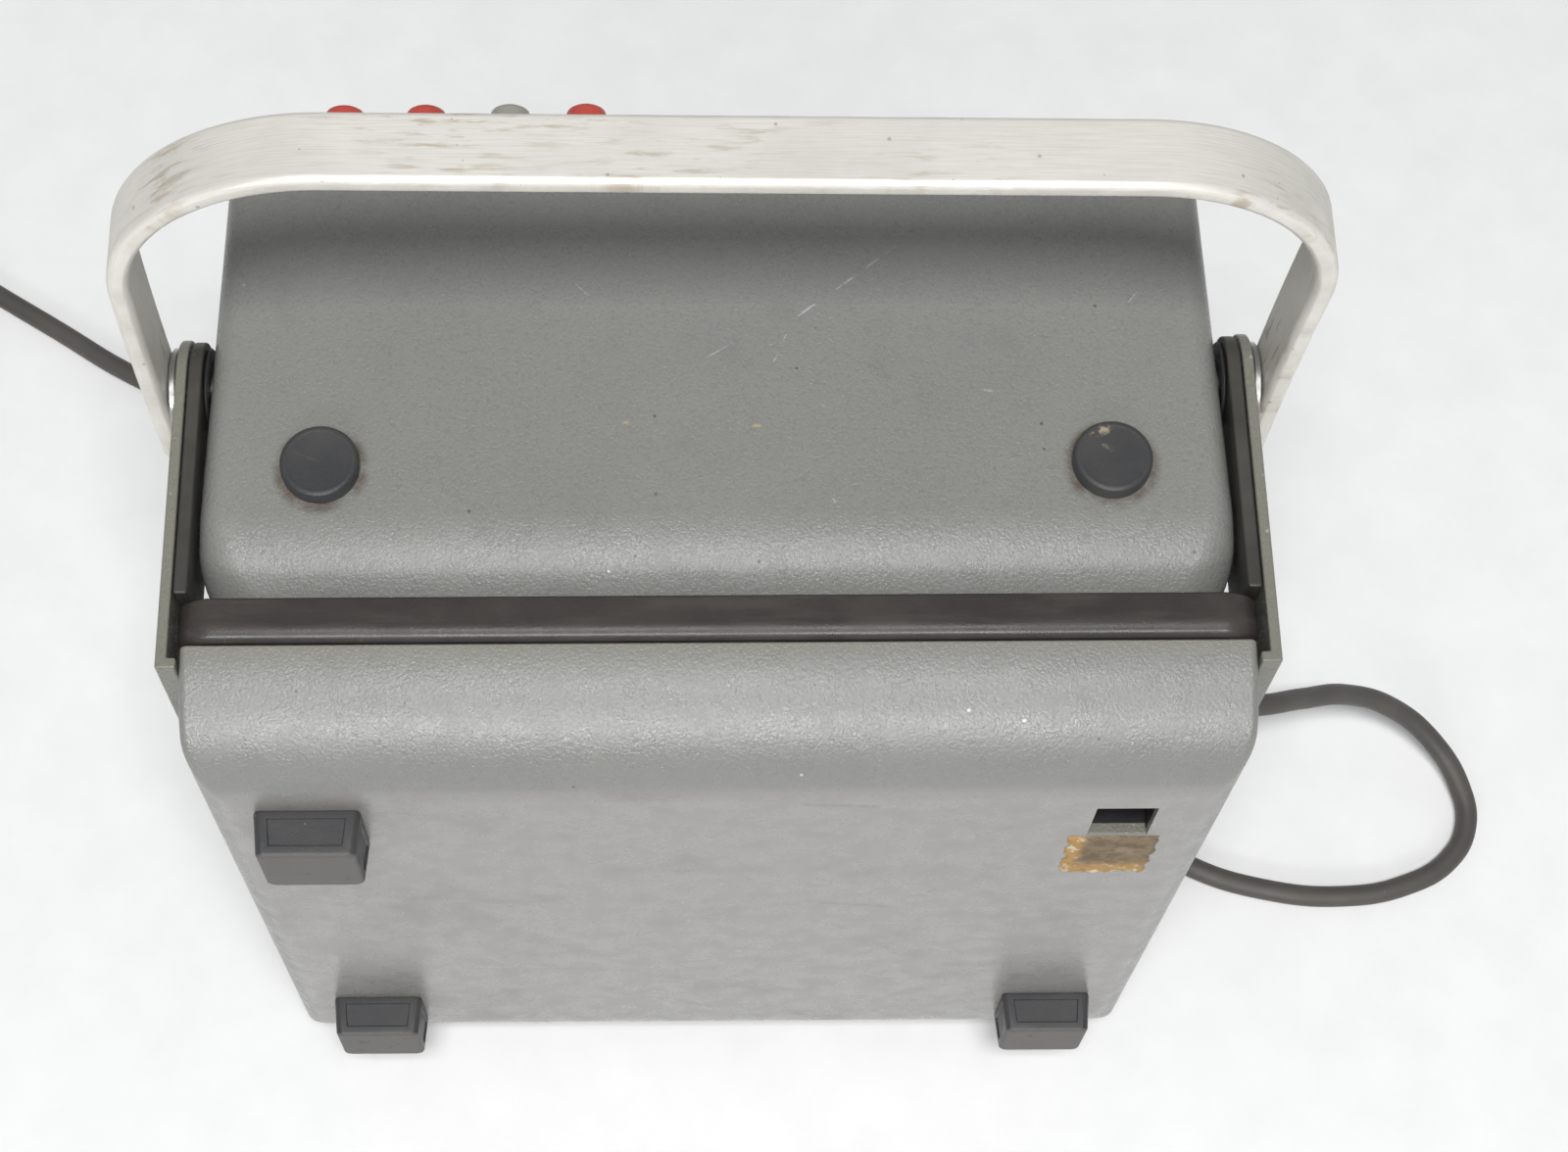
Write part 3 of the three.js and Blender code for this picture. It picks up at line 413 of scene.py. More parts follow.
def copper_winding():
    made = Finish("copper_winding", (0.45, 0.22, 0.11), 0.35, 0.8)
    wires = node(made.tree, "TexWave", {"Vector": made.here, "Scale": 420.0, "Distortion": 0.2},
                 bands_direction="Z")
    made.layer(wires.outputs["Fac"], (0.20, 0.08, 0.04), 0.6)
    return made.bump(wires.outputs["Fac"], 0.0003).close()


def board_finish():
    made = Finish("board", (0.33, 0.22, 0.09), 0.5)
    weave = node(made.tree, "TexChecker", {"Vector": made.here, "Scale": 900.0})
    made.layer(weave.outputs["Fac"], (0.28, 0.18, 0.07), 0.4).stains((0.16, 0.1, 0.04), 60.0, 0.25, 0.4)
    return made.bump(weave.outputs["Fac"], 0.00003).close()


def clear_glass():
    made = Finish("meter_glass", (0.96, 0.97, 0.97), 0.04)
    made.stains((0.86, 0.87, 0.85), 40.0, 0.25, 0.3, 0.15, 0.12)
    return made.close(Transmission_Weight=1.0, IOR=1.49)


def torn_adhesive():
    """Dull in the middle. The glue shows golden along the ragged lower edge and the sides, where cream
    flecks are painted highlights.
    """
    made = Finish("torn_adhesive", (0.25, 0.185, 0.110), 0.72)
    made.stains((0.14, 0.090, 0.045), 190.0, 0.5, 0.8, 0.08).stains((0.36, 0.28, 0.17), 110.0, 0.35, 0.7,
                                                                    0.08)
    low = ranged(made.tree, made.axis("Z"), 0.187, 0.180)
    side = ranged(made.tree, made.axis("X"), 0.0900, 0.0868)
    rim = maths(made.tree, "MAXIMUM", low, side)
    gold = made.group(STAIN, {"Scale": 170.0, "Amount": 0.75, "Edge": 0.08})["Mask"]
    made.layer(maths(made.tree, "MULTIPLY", rim, gold), (0.56, 0.32, 0.09), 0.85)
    # Painted highlights: cream flecks along the ragged edges.
    painted_highlight_flecks = made.group(STAIN, {"Scale": 330.0, "Amount": 0.38, "Edge": 0.05})["Mask"]
    made.layer(maths(made.tree, "MULTIPLY", rim, painted_highlight_flecks), (0.80, 0.70, 0.50), 0.85)
    return made.bump(noise_at(made.tree, made.place, 420.0, 7.0, 0.7), 0.0010).close()


def seal_rubber():
    made = rubber("seal_rubber", (0.031, 0.027, 0.025), (0.060, 0.052, 0.046), 0.34, 0.45)
    streaks = node(made.tree, "Mapping", {"Vector": made.here, "Scale": (0.12, 1, 1)}).outputs[0]
    worn = made.group(STAIN, {"Scale": 240.0, "Amount": 0.35, "Edge": 0.1}, streaks)["Mask"]
    made.layer(worn, (0.066, 0.056, 0.049), 0.5, 0.5)
    return made.close(Coat_Weight=0.12)


FINISHES = {
    "body_enamel": body_enamel(), "tray_enamel": tray_enamel(), "arm_enamel": arm_enamel(),
    "panel_enamel": panel_enamel(), "handle_aluminium": brushed_aluminium(), "steel": steel(),
    "brass": brass(),
    "core_steel": core_finish(), "copper": copper_winding(), "board": board_finish(),
    "foot_rubber": foot_rubber(),
    "seal_rubber": seal_rubber(), "meter_glass": clear_glass(), "torn_adhesive": torn_adhesive(),
    "cord_rubber": rubber("cord_rubber", (0.078, 0.072, 0.066), (0.12, 0.108, 0.095), 0.5, 0.4).close(),
    "black_bar": rubber("black_bar", (0.040, 0.038, 0.033), (0.085, 0.078, 0.066), 0.42, 0.5).close(),
    "black_plastic": plastic("black_plastic", (0.018, 0.018, 0.020)),
    "red_plastic": plastic("red_plastic", (0.48, 0.070, 0.050), 0.34),
    "grey_plastic": plastic("grey_plastic", (0.30, 0.29, 0.26)),
    "dial_card": plastic("dial_card", (0.80, 0.78, 0.70), 0.7),
    "white_ink": plastic("white_ink", (0.8, 0.8, 0.76), 0.6),
    "black_ink": plastic("black_ink", (0.02, 0.02, 0.02), 0.6),
}

# ---- Building pieces ----


def rounded_ring(depth, half, low, high, radius, steps=6):
    """A rectangle with round corners at one depth, as points that run round it."""
    corners = [(half - radius, high - radius, 0), (-half + radius, high - radius, 90),
               (-half + radius, low + radius, 180), (half - radius, low + radius, 270)]
    points = []
    for x, z, first in corners:
        for i in range(steps + 1):
            angle = math.radians(first + 90 * i / steps)
            points.append((x + radius * math.cos(angle), depth, z + radius * math.sin(angle)))
    return points


def moved_ring(ring, x):
    return [(p[0] + x, p[1], p[2]) for p in ring]


def loft(rings, closed=False):
    """A skin over rings of equal length, capped at both ends, or joined from the last ring to the first."""
    build = bmesh.new()
    rows = [[build.verts.new(point) for point in ring] for ring in rings]
    pairs = list(zip(rows, rows[1:])) + ([(rows[-1], rows[0])] if closed else [])
    for a, b in pairs:
        for i in range(len(a)):
            j = (i + 1) % len(a)
            build.faces.new((a[i], a[j], b[j], b[i]))
    if not closed:
        build.faces.new(rows[0])
        build.faces.new(list(reversed(rows[-1])))
    return build


def turned(axis, profile, centre=(0, 0, 0), steps=40, flutes=0, flute_depth=0.0, fluted=()):
    """A round solid about a line along an axis, from a (radius, distance) profile off the line.
    The profile points whose numbers are in fluted ripple in and out."""
    rings = []
    for number, (radius, distance) in enumerate(profile):
        ring = []
        for i in range(steps):
            angle = 2 * math.pi * i / steps
            ripple = flute_depth * (0.5 + 0.5 * math.cos(flutes * angle)) if number in fluted else 0.0
            u, v = (radius - ripple) * math.cos(angle), (radius - ripple) * math.sin(angle)
            local = {"X": (distance, u, v), "Y": (v, distance, u), "Z": (u, v, distance)}[axis]
            ring.append(tuple(a + b for a, b in zip(local, centre)))
        rings.append(ring)
    return loft(rings)


def extruded(outline, axis, low, high):
    """An outline in (depth, height) pushed along X, or one in (x, height) pushed along the depth."""
    order = {"X": lambda u, v, w: (w, u, v), "Y": lambda u, v, w: (u, w, v)}[axis]
    return loft([[order(u, v, w) for u, v in outline] for w in (low, high)])


def box_solid(low, high):
    outline = [(low[0], low[2]), (high[0], low[2]), (high[0], high[2]), (low[0], high[2])]
    return extruded(outline, "Y", low[1], high[1])


def arc(u, v, radius, first, last, steps=14):
    angles = [math.radians(first + (last - first) * i / steps) for i in range(steps + 1)]
    return [(u + radius * math.cos(a), v + radius * math.sin(a)) for a in angles]


def shelled(build, name):
    mesh = bpy.data.meshes.new(name)
    bmesh.ops.recalc_face_normals(build, faces=build.faces)
    build.to_mesh(mesh)
    build.free()
    made = bpy.data.objects.new(name, mesh)
    bpy.context.scene.collection.objects.link(made)
    return made


def combined(base, other, operation):
    """A boolean of two solids, as a new bmesh."""
    first, second = shelled(base, "first"), shelled(other, "second")
    modifier = first.modifiers.new("cut", "BOOLEAN")
    modifier.operation = operation
    modifier.solver = "EXACT"
    modifier.object = second
    result = bmesh.new()
    graph = bpy.context.evaluated_depsgraph_get()
    result.from_object(first, graph)
    for made in (first, second):
        bpy.data.objects.remove(made)
    bmesh.ops.remove_doubles(result, verts=result.verts, dist=0.0005)
    return result


def bevelled(build, width, segments=3, sharper=30):
    bmesh.ops.dissolve_limit(build, angle_limit=math.radians(0.5), verts=build.verts, edges=build.edges)
    bmesh.ops.recalc_face_normals(build, faces=build.faces)
    sharp = [e for e in build.edges
             if len(e.link_faces) == 2 and e.calc_face_angle(0) > math.radians(sharper)]
    bmesh.ops.bevel(build, geom=sharp, offset=width, segments=segments, profile=0.5, affect="EDGES",
                    clamp_overlap=True)
    return build


def piece(name, build, finish, body, stands_for=(), smooth=38, in_row=False):
    """Makes the finished piece, placed in the frame, with flat faces kept flat beside rounded edges."""
    bmesh.ops.recalc_face_normals(build, faces=build.faces)
    if not in_row:
        for vertex in build.verts:
            vertex.co = row(*vertex.co)
    for face in build.faces:
        face.smooth = True
    for edge in build.edges:
        edge.smooth = len(edge.link_faces) == 2 and edge.calc_face_angle(0) < math.radians(smooth)
    mesh = bpy.data.meshes.new(name)
    build.to_mesh(mesh)
    build.free()
    made = bpy.data.objects.new(name, mesh)
    bpy.context.scene.collection.objects.link(made)
    weigh = made.modifiers.new("weigh", "WEIGHTED_NORMAL")
    weigh.keep_sharp = True
    settle(made)
    made.data.materials.clear()
    made.data.materials.append(FINISHES[finish])
    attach(made, body)
    if stands_for:
        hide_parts(*stands_for)
    return made


def settle(made):
    """Turns the modifiers' result into the object's own mesh."""
    graph = bpy.context.evaluated_depsgraph_get()
    mesh = bpy.data.meshes.new_from_object(made.evaluated_get(graph))
    made.modifiers.clear()
    made.data = mesh


def softened(node_name, finish, body, width=0.3):
    """A copy of a CAD node with its edges rounded."""
    build = bmesh.new()
    build.from_mesh(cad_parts[node_name].data)
    bmesh.ops.remove_doubles(build, verts=build.verts, dist=1e-6)
    bevelled(build, width * MM, 2, 50)
    return piece(node_name + "_made", build, finish, body, [node_name], in_row=True)


# ---- Mains cord: a real length of flexible lead, from the strain relief to its coil and plug ----

CORD_DIAMETER = 0.0065
CORD_ROUTE = [
    (0.1512, 0.086, 0.062), (0.165, 0.0878, 0.0585), (0.18, 0.0936, 0.0485), (0.197, 0.0996, 0.036),
    (0.214, 0.0998, 0.0235), (0.2285, 0.0925, 0.0125), (0.2372, 0.08, 0.0056), (0.2384, 0.068, 0.0035),
    (0.2318, 0.0566, 0.0034), (0.217, 0.0483, 0.0034), (0.197, 0.0449, 0.0034), (0.173, 0.0473, 0.0034),
    (0.1505, 0.055, 0.0034), (0.135, 0.066, 0.0034), (0.1275, 0.082, 0.0034), (0.126, 0.102, 0.0034),
    (0.1262, 0.126, 0.0034), (0.1255, 0.152, 0.0034), (0.12, 0.178, 0.0034), (0.106, 0.201, 0.0034),
    (0.084, 0.217, 0.0034), (0.054, 0.225, 0.0034), (0.014, 0.227, 0.0034), (-0.032, 0.224, 0.0034),
    (-0.08, 0.2165, 0.0034), (-0.122, 0.2115, 0.0034), (-0.16, 0.215, 0.0034), (-0.194, 0.231, 0.0034),
    (-0.218, 0.2466, 0.0034), (-0.2503, 0.2678, 0.0036),
]
coil_low, coil_high = span("cord_coil")
COIL_X, COIL_DEPTH = (coil_low.x + coil_high.x) / 2, (coil_low.y + coil_high.y) / 2
COIL_FIRST, COIL_TURNS, COIL_STEPS = 53.13, 3.019, 14
PLUG_OFFSET, PLUG_AXIS = -21.0, 23.5


def eased(value, start, end, low, high):
    share = min(1.0, max(0.0, (value - start) / (end - start)))
    return low + (high - low) * share * share * (3 - 2 * share)


def coil_points():
    """Two turns beside each other, a third on top, then a rise to the plug, which lies on the coil."""
    points = []
    count = round(COIL_TURNS * COIL_STEPS)
    for i in range(count + 1):
        turn_number = COIL_TURNS * i / count
        radius = 39.5 + eased(turn_number, 0.72, 1.0, 0, -6.5) + eased(turn_number, 2.45, 2.75, 0, 6.5)
        radius += eased(turn_number, 2.78, 3.019, 0, -3.5)
        height = 4.45 + eased(turn_number, 1.55, 1.85, 0, 6.5) + eased(turn_number, 2.76, 2.96, 0, 6.6)
        angle = math.radians(COIL_FIRST + 360 * turn_number)
        points.append((COIL_X + radius * math.cos(angle), COIL_DEPTH + radius * math.sin(angle), height))
    last = points[-1][2]
    for i in range(1, 7):
        angle = math.radians(60 + 120 * i / 6)
        x = COIL_X + 5 + 26 * math.cos(angle)
        points.append((x, COIL_DEPTH + 8.66 + 26 * math.sin(angle),
                       eased(i, -0.6, 6, 2 * last - PLUG_AXIS + 4, PLUG_AXIS)))
    points.append((COIL_X + PLUG_OFFSET, COIL_DEPTH + 5.0, PLUG_AXIS))
    return points


def mains_cord():
    curve = bpy.data.curves.new("mains_lead", "CURVE")
    curve.dimensions = "3D"
    curve.bevel_depth = CORD_DIAMETER / 2
    curve.bevel_resolution = 6
    curve.resolution_u = 8
    curve.use_fill_caps = True
    points = [Vector((x, BACK + depth, z)) for x, depth,
              z in CORD_ROUTE] + [row(*point) for point in coil_points()]
    spline = curve.splines.new("BEZIER")
    spline.bezier_points.add(len(points) - 1)
    for knot, point in zip(spline.bezier_points, points):
        knot.co = point
        knot.handle_left_type = knot.handle_right_type = "AUTO"
    made = bpy.data.objects.new("mains_lead", curve)
    bpy.context.scene.collection.objects.link(made)
    curve.materials.append(FINISHES["cord_rubber"])
    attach(made, "instrument")
    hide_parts("mains_cord", "cord_coil")
    return made


def strain_relief():
    relief_low, relief_high = span("strain_relief")
    centre = (0, (relief_low.y + relief_high.y) / 2, (relief_low.z + relief_high.z) / 2)
    wall, tip = 119.9, relief_high.x + 1.0
    profile = [(8.5, 112), (8.5, 117.4), (6.2, 117.4), (6.2, wall), (9.0, wall), (9.5, wall + 0.5),
               (9.5, wall + 2.2),
               (9.0, wall + 2.7), (7.2, wall + 3.0)]
    ribs, start = 7, wall + 3.6
    for i in range(ribs):
        x = start + (tip - start - 1.5) * i / ribs
        radius = 6.9 - 2.6 * i / ribs
        step = (tip - start - 1.5) / ribs
        profile += [(radius, x), (radius, x + step * 0.45), (radius - 0.7, x + step * 0.58),
                    (radius - 0.75, x + step * 0.86)]
    profile += [(4.3, tip - 1.2), (4.2, tip - 0.3), (3.7, tip)]
    return piece("strain_relief_made", turned("X", profile, centre, 32), "cord_rubber", "instrument",
                 ["strain_relief"])


def plug_body():
    """The sleeve is ribbed, and the grip swells to the plug's face."""
    sections = [(-8.7, 4.4, 4.4)]
    for i in range(6):
        start = -7.6 + i * 3.3
        size = 4.7 + i * 0.22
        sections += [(start, size, size), (start + 1.5, size, size), (start + 1.9, size - 0.7, size - 0.7),
                     (start + 2.9, size - 0.7, size - 0.7)]
    sections += [(12.6, 6.0, 6.0), (14.5, 8.5, 6.4), (18, 14.2, 6.8), (22, 16.8, 7.0), (28, 17.4, 7.0),
                 (34, 16.6, 6.7),
                 (38, 16.4, 6.6), (42, 17.3, 7.0), (48.4, 17.5, 7.0), (49.1, 17.1, 6.7), (49.3, 16.4, 6.1)]
    rings = []
    for along, half_width, half_height in sections:
        ring = []
        for i in range(44):
            angle = 2 * math.pi * i / 44
            c, s = math.cos(angle), math.sin(angle)
            power = 1.0 if along < 13 else 0.62
            x = half_width * math.copysign(abs(c) ** power, c)
            z = half_height * math.copysign(abs(s) ** power, s)
            ring.append((COIL_X + PLUG_OFFSET + x, COIL_DEPTH - along, PLUG_AXIS + z))
        rings.append(ring)
    return piece("plug_body_made", loft(rings), "cord_rubber", "instrument", ["plug_body"])


def plug_pins():
    start = COIL_DEPTH - 49.6
    x0 = COIL_X + PLUG_OFFSET
    build = bevelled(box_solid((x0 - 12, start - 0.6, PLUG_AXIS - 3), (x0 + 12, start, PLUG_AXIS + 3)), 0.2,
                     2)
    for side in (-9.5, 9.5):
        profile = [(2.2, start - 0.3), (2.2, start - 18.2), (1.9, start - 18.8), (1.2, start - 19.0)]
        pin = shelled(turned("Y", profile, (x0 + side, 0, PLUG_AXIS), 28), "pin")
        build.from_mesh(pin.data)
        bpy.data.objects.remove(pin)
    return piece("plug_pins_made", build, "brass", "instrument", ["plug_pins"])


def cord_tie():
    tie_low, tie_high = span("cord_tie")
    return piece("cord_tie_made", rounded_band(tie_low, tie_high), "black_plastic", "instrument",
                 ["cord_tie"])


def rounded_band(low, high, wall=0.9, radius=3.2):
    """A flat band with round corners round the coil's turns, which run along X through it."""
    half, middle = (high.y - low.y) / 2, (low.y + high.y) / 2
    rings = []
    for x, inset in ((low.x, 0), (high.x, 0), (high.x, wall), (low.x, wall)):
        ring = rounded_ring(0, half - inset, low.z + inset, high.z - inset, radius - inset)
        rings.append([(x, middle + u, z) for u, _, z in ring])
    return loft(rings, closed=True)


lead = mains_cord()
relief = strain_relief()
plug = plug_body()
pins = plug_pins()
tie = cord_tie()

# ---- Drawn shells ----

SHEET = 1.6
tray_low, tray_high = span("tray_shell")
body_low, body_high = span("body_shell")


def drawn_rings(half, front_half, back, front, low, high, shoulder, end_radius, corner, back_corner,
                inset=0.0):
    """Rings from the closed back to the open front.

    The long edges turn through a wide shoulder, and the ends through a smaller one.
    """
    half, front_half, back = half - inset, front_half - inset, back + inset
    low, high, shoulder, end_radius = low + inset, high - inset, shoulder - inset, end_radius - inset
    steps = 30
    depths = [back + shoulder * (1 - math.cos(math.radians(90 * i / steps))) for i in range(steps + 1)]
    if front > back + shoulder + 1:
        depths += [back + shoulder + (front - back - shoulder) * i / 8 for i in range(1, 9)]
    rings = []
    for depth in depths:
        d = depth - back
        end = end_radius - math.sqrt(max(0.0, end_radius ** 2 - max(0.0, end_radius - d) ** 2))
        taper = (half - front_half) * max(0.0, d - end_radius) / (front - back - end_radius)
        edge = shoulder - math.sqrt(max(0.0, shoulder ** 2 - max(0.0, shoulder - d) ** 2))
        radius = corner + (back_corner - corner) * max(0.0, 1 - d / shoulder) - inset
        rings.append(rounded_ring(depth, half - end - taper, low + edge, high - edge, radius, 8))
    return rings


def drawn_shell(rim=0.35, **size):
    """A shell of even thickness with a rounded rim, closed all over."""
    outer = drawn_rings(**size)
    inner = drawn_rings(**size, inset=SHEET)
    front = size["front"]
    outer[-1] = [(p[0], front - rim, p[2]) for p in outer[-1]]
    inner[-1] = [(p[0], front - rim, p[2]) for p in inner[-1]]
    lips = []
    for share in (0.18, 0.82):
        lips.append([tuple(a + (b - a) * share for a, b in zip(p, q)) for p,
                     q in zip(outer[-1], inner[-1])])
    lips = [[(p[0], front, p[2]) for p in ring] for ring in lips]
    return loft(outer + lips + inner[::-1])


RECT_FOOT_X, RECT_FOOT_HIGH, RECT_FOOT_LOW = 95.8, 213.7, 46.5


def tray_shell():
    shell = drawn_shell(half=tray_high.x, front_half=tray_high.x, back=0.0, front=tray_high.y,
                        low=tray_low.z,
                        high=tray_high.z, shoulder=tray_high.y, end_radius=10.0, corner=1.8,
                        back_corner=2.2)
    hole = box_solid((RECT_FOOT_X - 7.2, -2, RECT_FOOT_HIGH - 10),
                     (RECT_FOOT_X + 7.2, 6, RECT_FOOT_HIGH + 10))
    return piece("tray_shell_made", combined(shell, hole, "DIFFERENCE"), "tray_enamel", "rear_tray",
                 ["tray_shell"])


def body_shell():
    shell = drawn_shell(half=body_high.x, front_half=118.2, back=body_low.y, front=body_high.y,
                        low=body_low.z,
                        high=body_high.z, shoulder=28.5, end_radius=22.0, corner=6.0, back_corner=14.0)
    return piece("body_shell_made", shell, "body_enamel", "instrument", ["body_shell"])


def foot_hole_lip():
    """The sheet at the empty foot hole's lower edge is bent inwards. Behind the hole stands a black cup,
    painted shade that keeps the hole dark.
    """
    low, high = RECT_FOOT_HIGH - 10, RECT_FOOT_HIGH + 10
    left, right = RECT_FOOT_X - 7.2, RECT_FOOT_X + 7.2
    lip = box_solid((left, 0.4, low - 1.2), (right, 3.2, low + 0.1))
    piece("foot_hole_lip", bevelled(lip, 0.3), "arm_enamel", "rear_tray")
    # Painted shade: a black cup behind the hole, where there is only shade inside the case.
    shade_box = box_solid((left - 1.5, SHEET, low - 1.5), (right + 1.5, 14, high + 1.5))
    socket = combined(shade_box, box_solid((left, 0, low), (right, 12.5, high)), "DIFFERENCE")
    piece("foot_hole_shade_cup", bevelled(socket, 0.2, 2), "black_plastic", "rear_tray")


def adhesive_patch():
    """What is left of the missing foot's glue: a thin ragged patch under the empty hole."""
    build = bmesh.new()
    left, right, top, bottom = 85.2, 106.4, 203.0, 175.5
    columns, rows_down = 46, 52
    grid = []
    for i in range(columns + 1):
        line = []
        ragged = 2.6 * (noise.noise((i * 0.31, 4.2, 0)) + 0.6 * noise.noise((i * 0.9, 1.1, 3)))
        for j in range(rows_down + 1):
            side = 1.3 * noise.noise((0.4, j * 0.3,
                                      7.7 if i * 2 < columns else 2.2)) * abs(2 * i / columns - 1)
            x = left + (right - left) * i / columns + side
            z = top + 0.25 * ragged - (top - bottom + ragged) * j / rows_down
            rough = 0.5 + 0.5 * noise.fractal((x * 0.28, z * 0.28, 2.0), 1.0, 2.0, 5)
            edge = min(i, columns - i, j, rows_down - j) / 3
            line.append(build.verts.new((x, -0.15 - min(1.0, edge) * (0.25 + 0.75 * max(0, rough)), z)))
        grid.append(line)
    for i in range(columns):
        for j in range(rows_down):
            build.faces.new((grid[i][j], grid[i + 1][j], grid[i + 1][j + 1], grid[i][j + 1]))
    border = [e for e in build.edges if e.is_boundary]
    pushed = bmesh.ops.extrude_edge_only(build, edges=border)["geom"]
    for vertex in [g for g in pushed if isinstance(g, bmesh.types.BMVert)]:
        vertex.co.y = 0.05
    loop = [e for e in build.edges if e.is_boundary]
    bmesh.ops.contextual_create(build, geom=loop)
    return piece("adhesive_patch", build, "torn_adhesive", "rear_tray", smooth=70)


def tray_seal():
    """A rubber ring. Its outer face is flat and rolls over towards the tray, where it leaves a groove."""
    outer = (123.6, 2.0, 261.0, 9.0)
    inner = (120.7, 14.3, 248.7, 5.0)
    section = [(28.8, 0, -3.0), (28.95, 0, -2.2), (29.35, 0, -1.35), (29.9, 0, -0.75), (30.7, 0, -0.3),
               (31.6, 0, -0.05),
               (32.6, 0, 0.0), (35.5, 0, -0.1), (38.4, 0, 0.0), (39.0, 0, -0.2), (39.3, 0, -0.8),
               (39.3, 1, 0.6),
               (39.0, 1, 0.1), (38.6, 1, 0), (29.2, 1, 0), (28.8, 1, 0.5)]
    rings = []
    for depth, side, out in section:
        half, low, high, radius = inner if side else outer
        rings.append(rounded_ring(depth, half + out, low - out, high + out, max(1.0, radius + out), 8))
    return piece("tray_seal_made", loft(rings, closed=True), "seal_rubber", "rear_tray",
                 ["tray_seal"],
                 smooth=60)


tray_shell()
body_shell()
foot_hole_lip()
adhesive_patch()
tray_seal()

# ---- Feet ----


def rect_foot(node_name, x, z):
    rings = []
    for depth, half in ((0.0, 12.3), (-0.6, 12.5), (-9.9, 11.75), (-10.5, 11.45), (-10.85, 10.95),
                        (-11.0, 10.3)):
        rings.append(moved_ring(rounded_ring(depth, half, z - half, z + half, 1.8, 4), x))
    build = loft(rings)
    bmesh.ops.recalc_face_normals(build, faces=build.faces)
    sides = [f for f in build.faces if f.calc_area() > 100 and abs(f.normal.y) < 0.5]
    for side in sides:
        bmesh.ops.inset_region(build, faces=[side], thickness=1.9, depth=0.0)
        bmesh.ops.inset_region(build, faces=[side], thickness=0.35, depth=-0.45)
    return piece(node_name + "_made", build, "foot_rubber", "rear_tray", [node_name],
                 smooth=30)


def round_foot(node_name):
    low, high = span(node_name)
    centre = ((low.x + high.x) / 2, (low.y + high.y) / 2, 0)
    upward = low.z > 100
    free, held = (high.z, low.z) if upward else (low.z, high.z)
    out = 1 if upward else -1
    profile = [(8.3, held - 0.3 * out), (9.1, held), (9.25, held + 1.6 * out), (9.1, free - 0.75 * out),
               (8.75, free - 0.25 * out), (8.2, free), (7.6, free - 0.06 * out), (7.2, free - 0.22 * out),
               (3.0, free - 0.25 * out)]
    return piece(node_name + "_made", turned("Z", profile, centre, 56), "foot_rubber", "instrument",
                 [node_name], smooth=50)


rect_foot("rect_foot_upper_left", -RECT_FOOT_X, RECT_FOOT_HIGH)
rect_foot("rect_foot_lower_left", -RECT_FOOT_X, RECT_FOOT_LOW)
rect_foot("rect_foot_lower_right", RECT_FOOT_X, RECT_FOOT_LOW)
for foot in ("top_foot", "base_foot_rear", "base_foot_front"):
    for end in ("left", "right"):
        round_foot(f"{foot}_{end}")

# ---- Arms, pivots and handle ----

screw_low, screw_high = span("pivot_screw_right")
PIVOT_DEPTH, PIVOT_HEIGHT = (screw_low.y + screw_high.y) / 2, (screw_low.z + screw_high.z) / 2
arm_low, arm_high = span("arm_right")
bar_low, bar_high = span("arm_bar_right")
strap_low, strap_high = span("handle_strap")
HANDLE_OUTER, HANDLE_TOP, HANDLE_RADIUS, HANDLE_THICK = 134.3, 355.0, 49.0, 5.0
HANDLE_SHIFT, HANDLE_SLOPE = 3.6, 0.027


def arm(end, side):
    """An angle beside the tray's end, with a flange towards it and a round-ended strap to the pivot."""
    radius = (arm_high.z - PIVOT_HEIGHT)
    front, foot, top = arm_low.y, arm_low.z, arm_high.z
    outline = [(front, foot), (front + 11, foot), (front + 11, top - 42)]
    outline += arc(front + 25, top - 42, 14, 180, 112, 6)
    outline += [(front + 31, top - 2 * radius)]
    outline += arc(PIVOT_DEPTH, PIVOT_HEIGHT, radius, -90, 90, 20) + [(front, top)]
    thick = 2.6
    plate = extruded(outline, "X", side * (arm_high.x - thick), side * arm_high.x)
    flange = box_solid((min(side * arm_low.x, side * (arm_high.x - 0.5)), front, foot),
                       (max(side * arm_low.x, side * (arm_high.x - 0.5)), front + thick, top))
    build = bevelled(combined(plate, flange, "UNION"), 0.55, 3)
    return piece(f"arm_{end}_made", build, "arm_enamel", "rear_tray", [f"arm_{end}"])


def arm_bar(end, side):
    radius = (bar_high.z - bar_low.z) / 2
    start = bar_low.y
    outline = [(start, PIVOT_HEIGHT + radius), (start + 1.5, PIVOT_HEIGHT - radius)]
    outline += arc(PIVOT_DEPTH, PIVOT_HEIGHT, radius, -90, 90, 20)
    build = bevelled(extruded(outline, "X", side * bar_low.x, side * bar_high.x), 0.6, 3)
    return piece(f"arm_bar_{end}_made", build, "black_bar", "rear_tray", [f"arm_bar_{end}"])


def round_part(node_name, end, side, profile, centre, finish, body, steps=44):
    placed = [(radius, side * x) for radius, x in profile]
    build = turned("X", placed, centre, steps)
    return piece(f"{node_name}_{end}_made", build, finish, body, [f"{node_name}_{end}"])


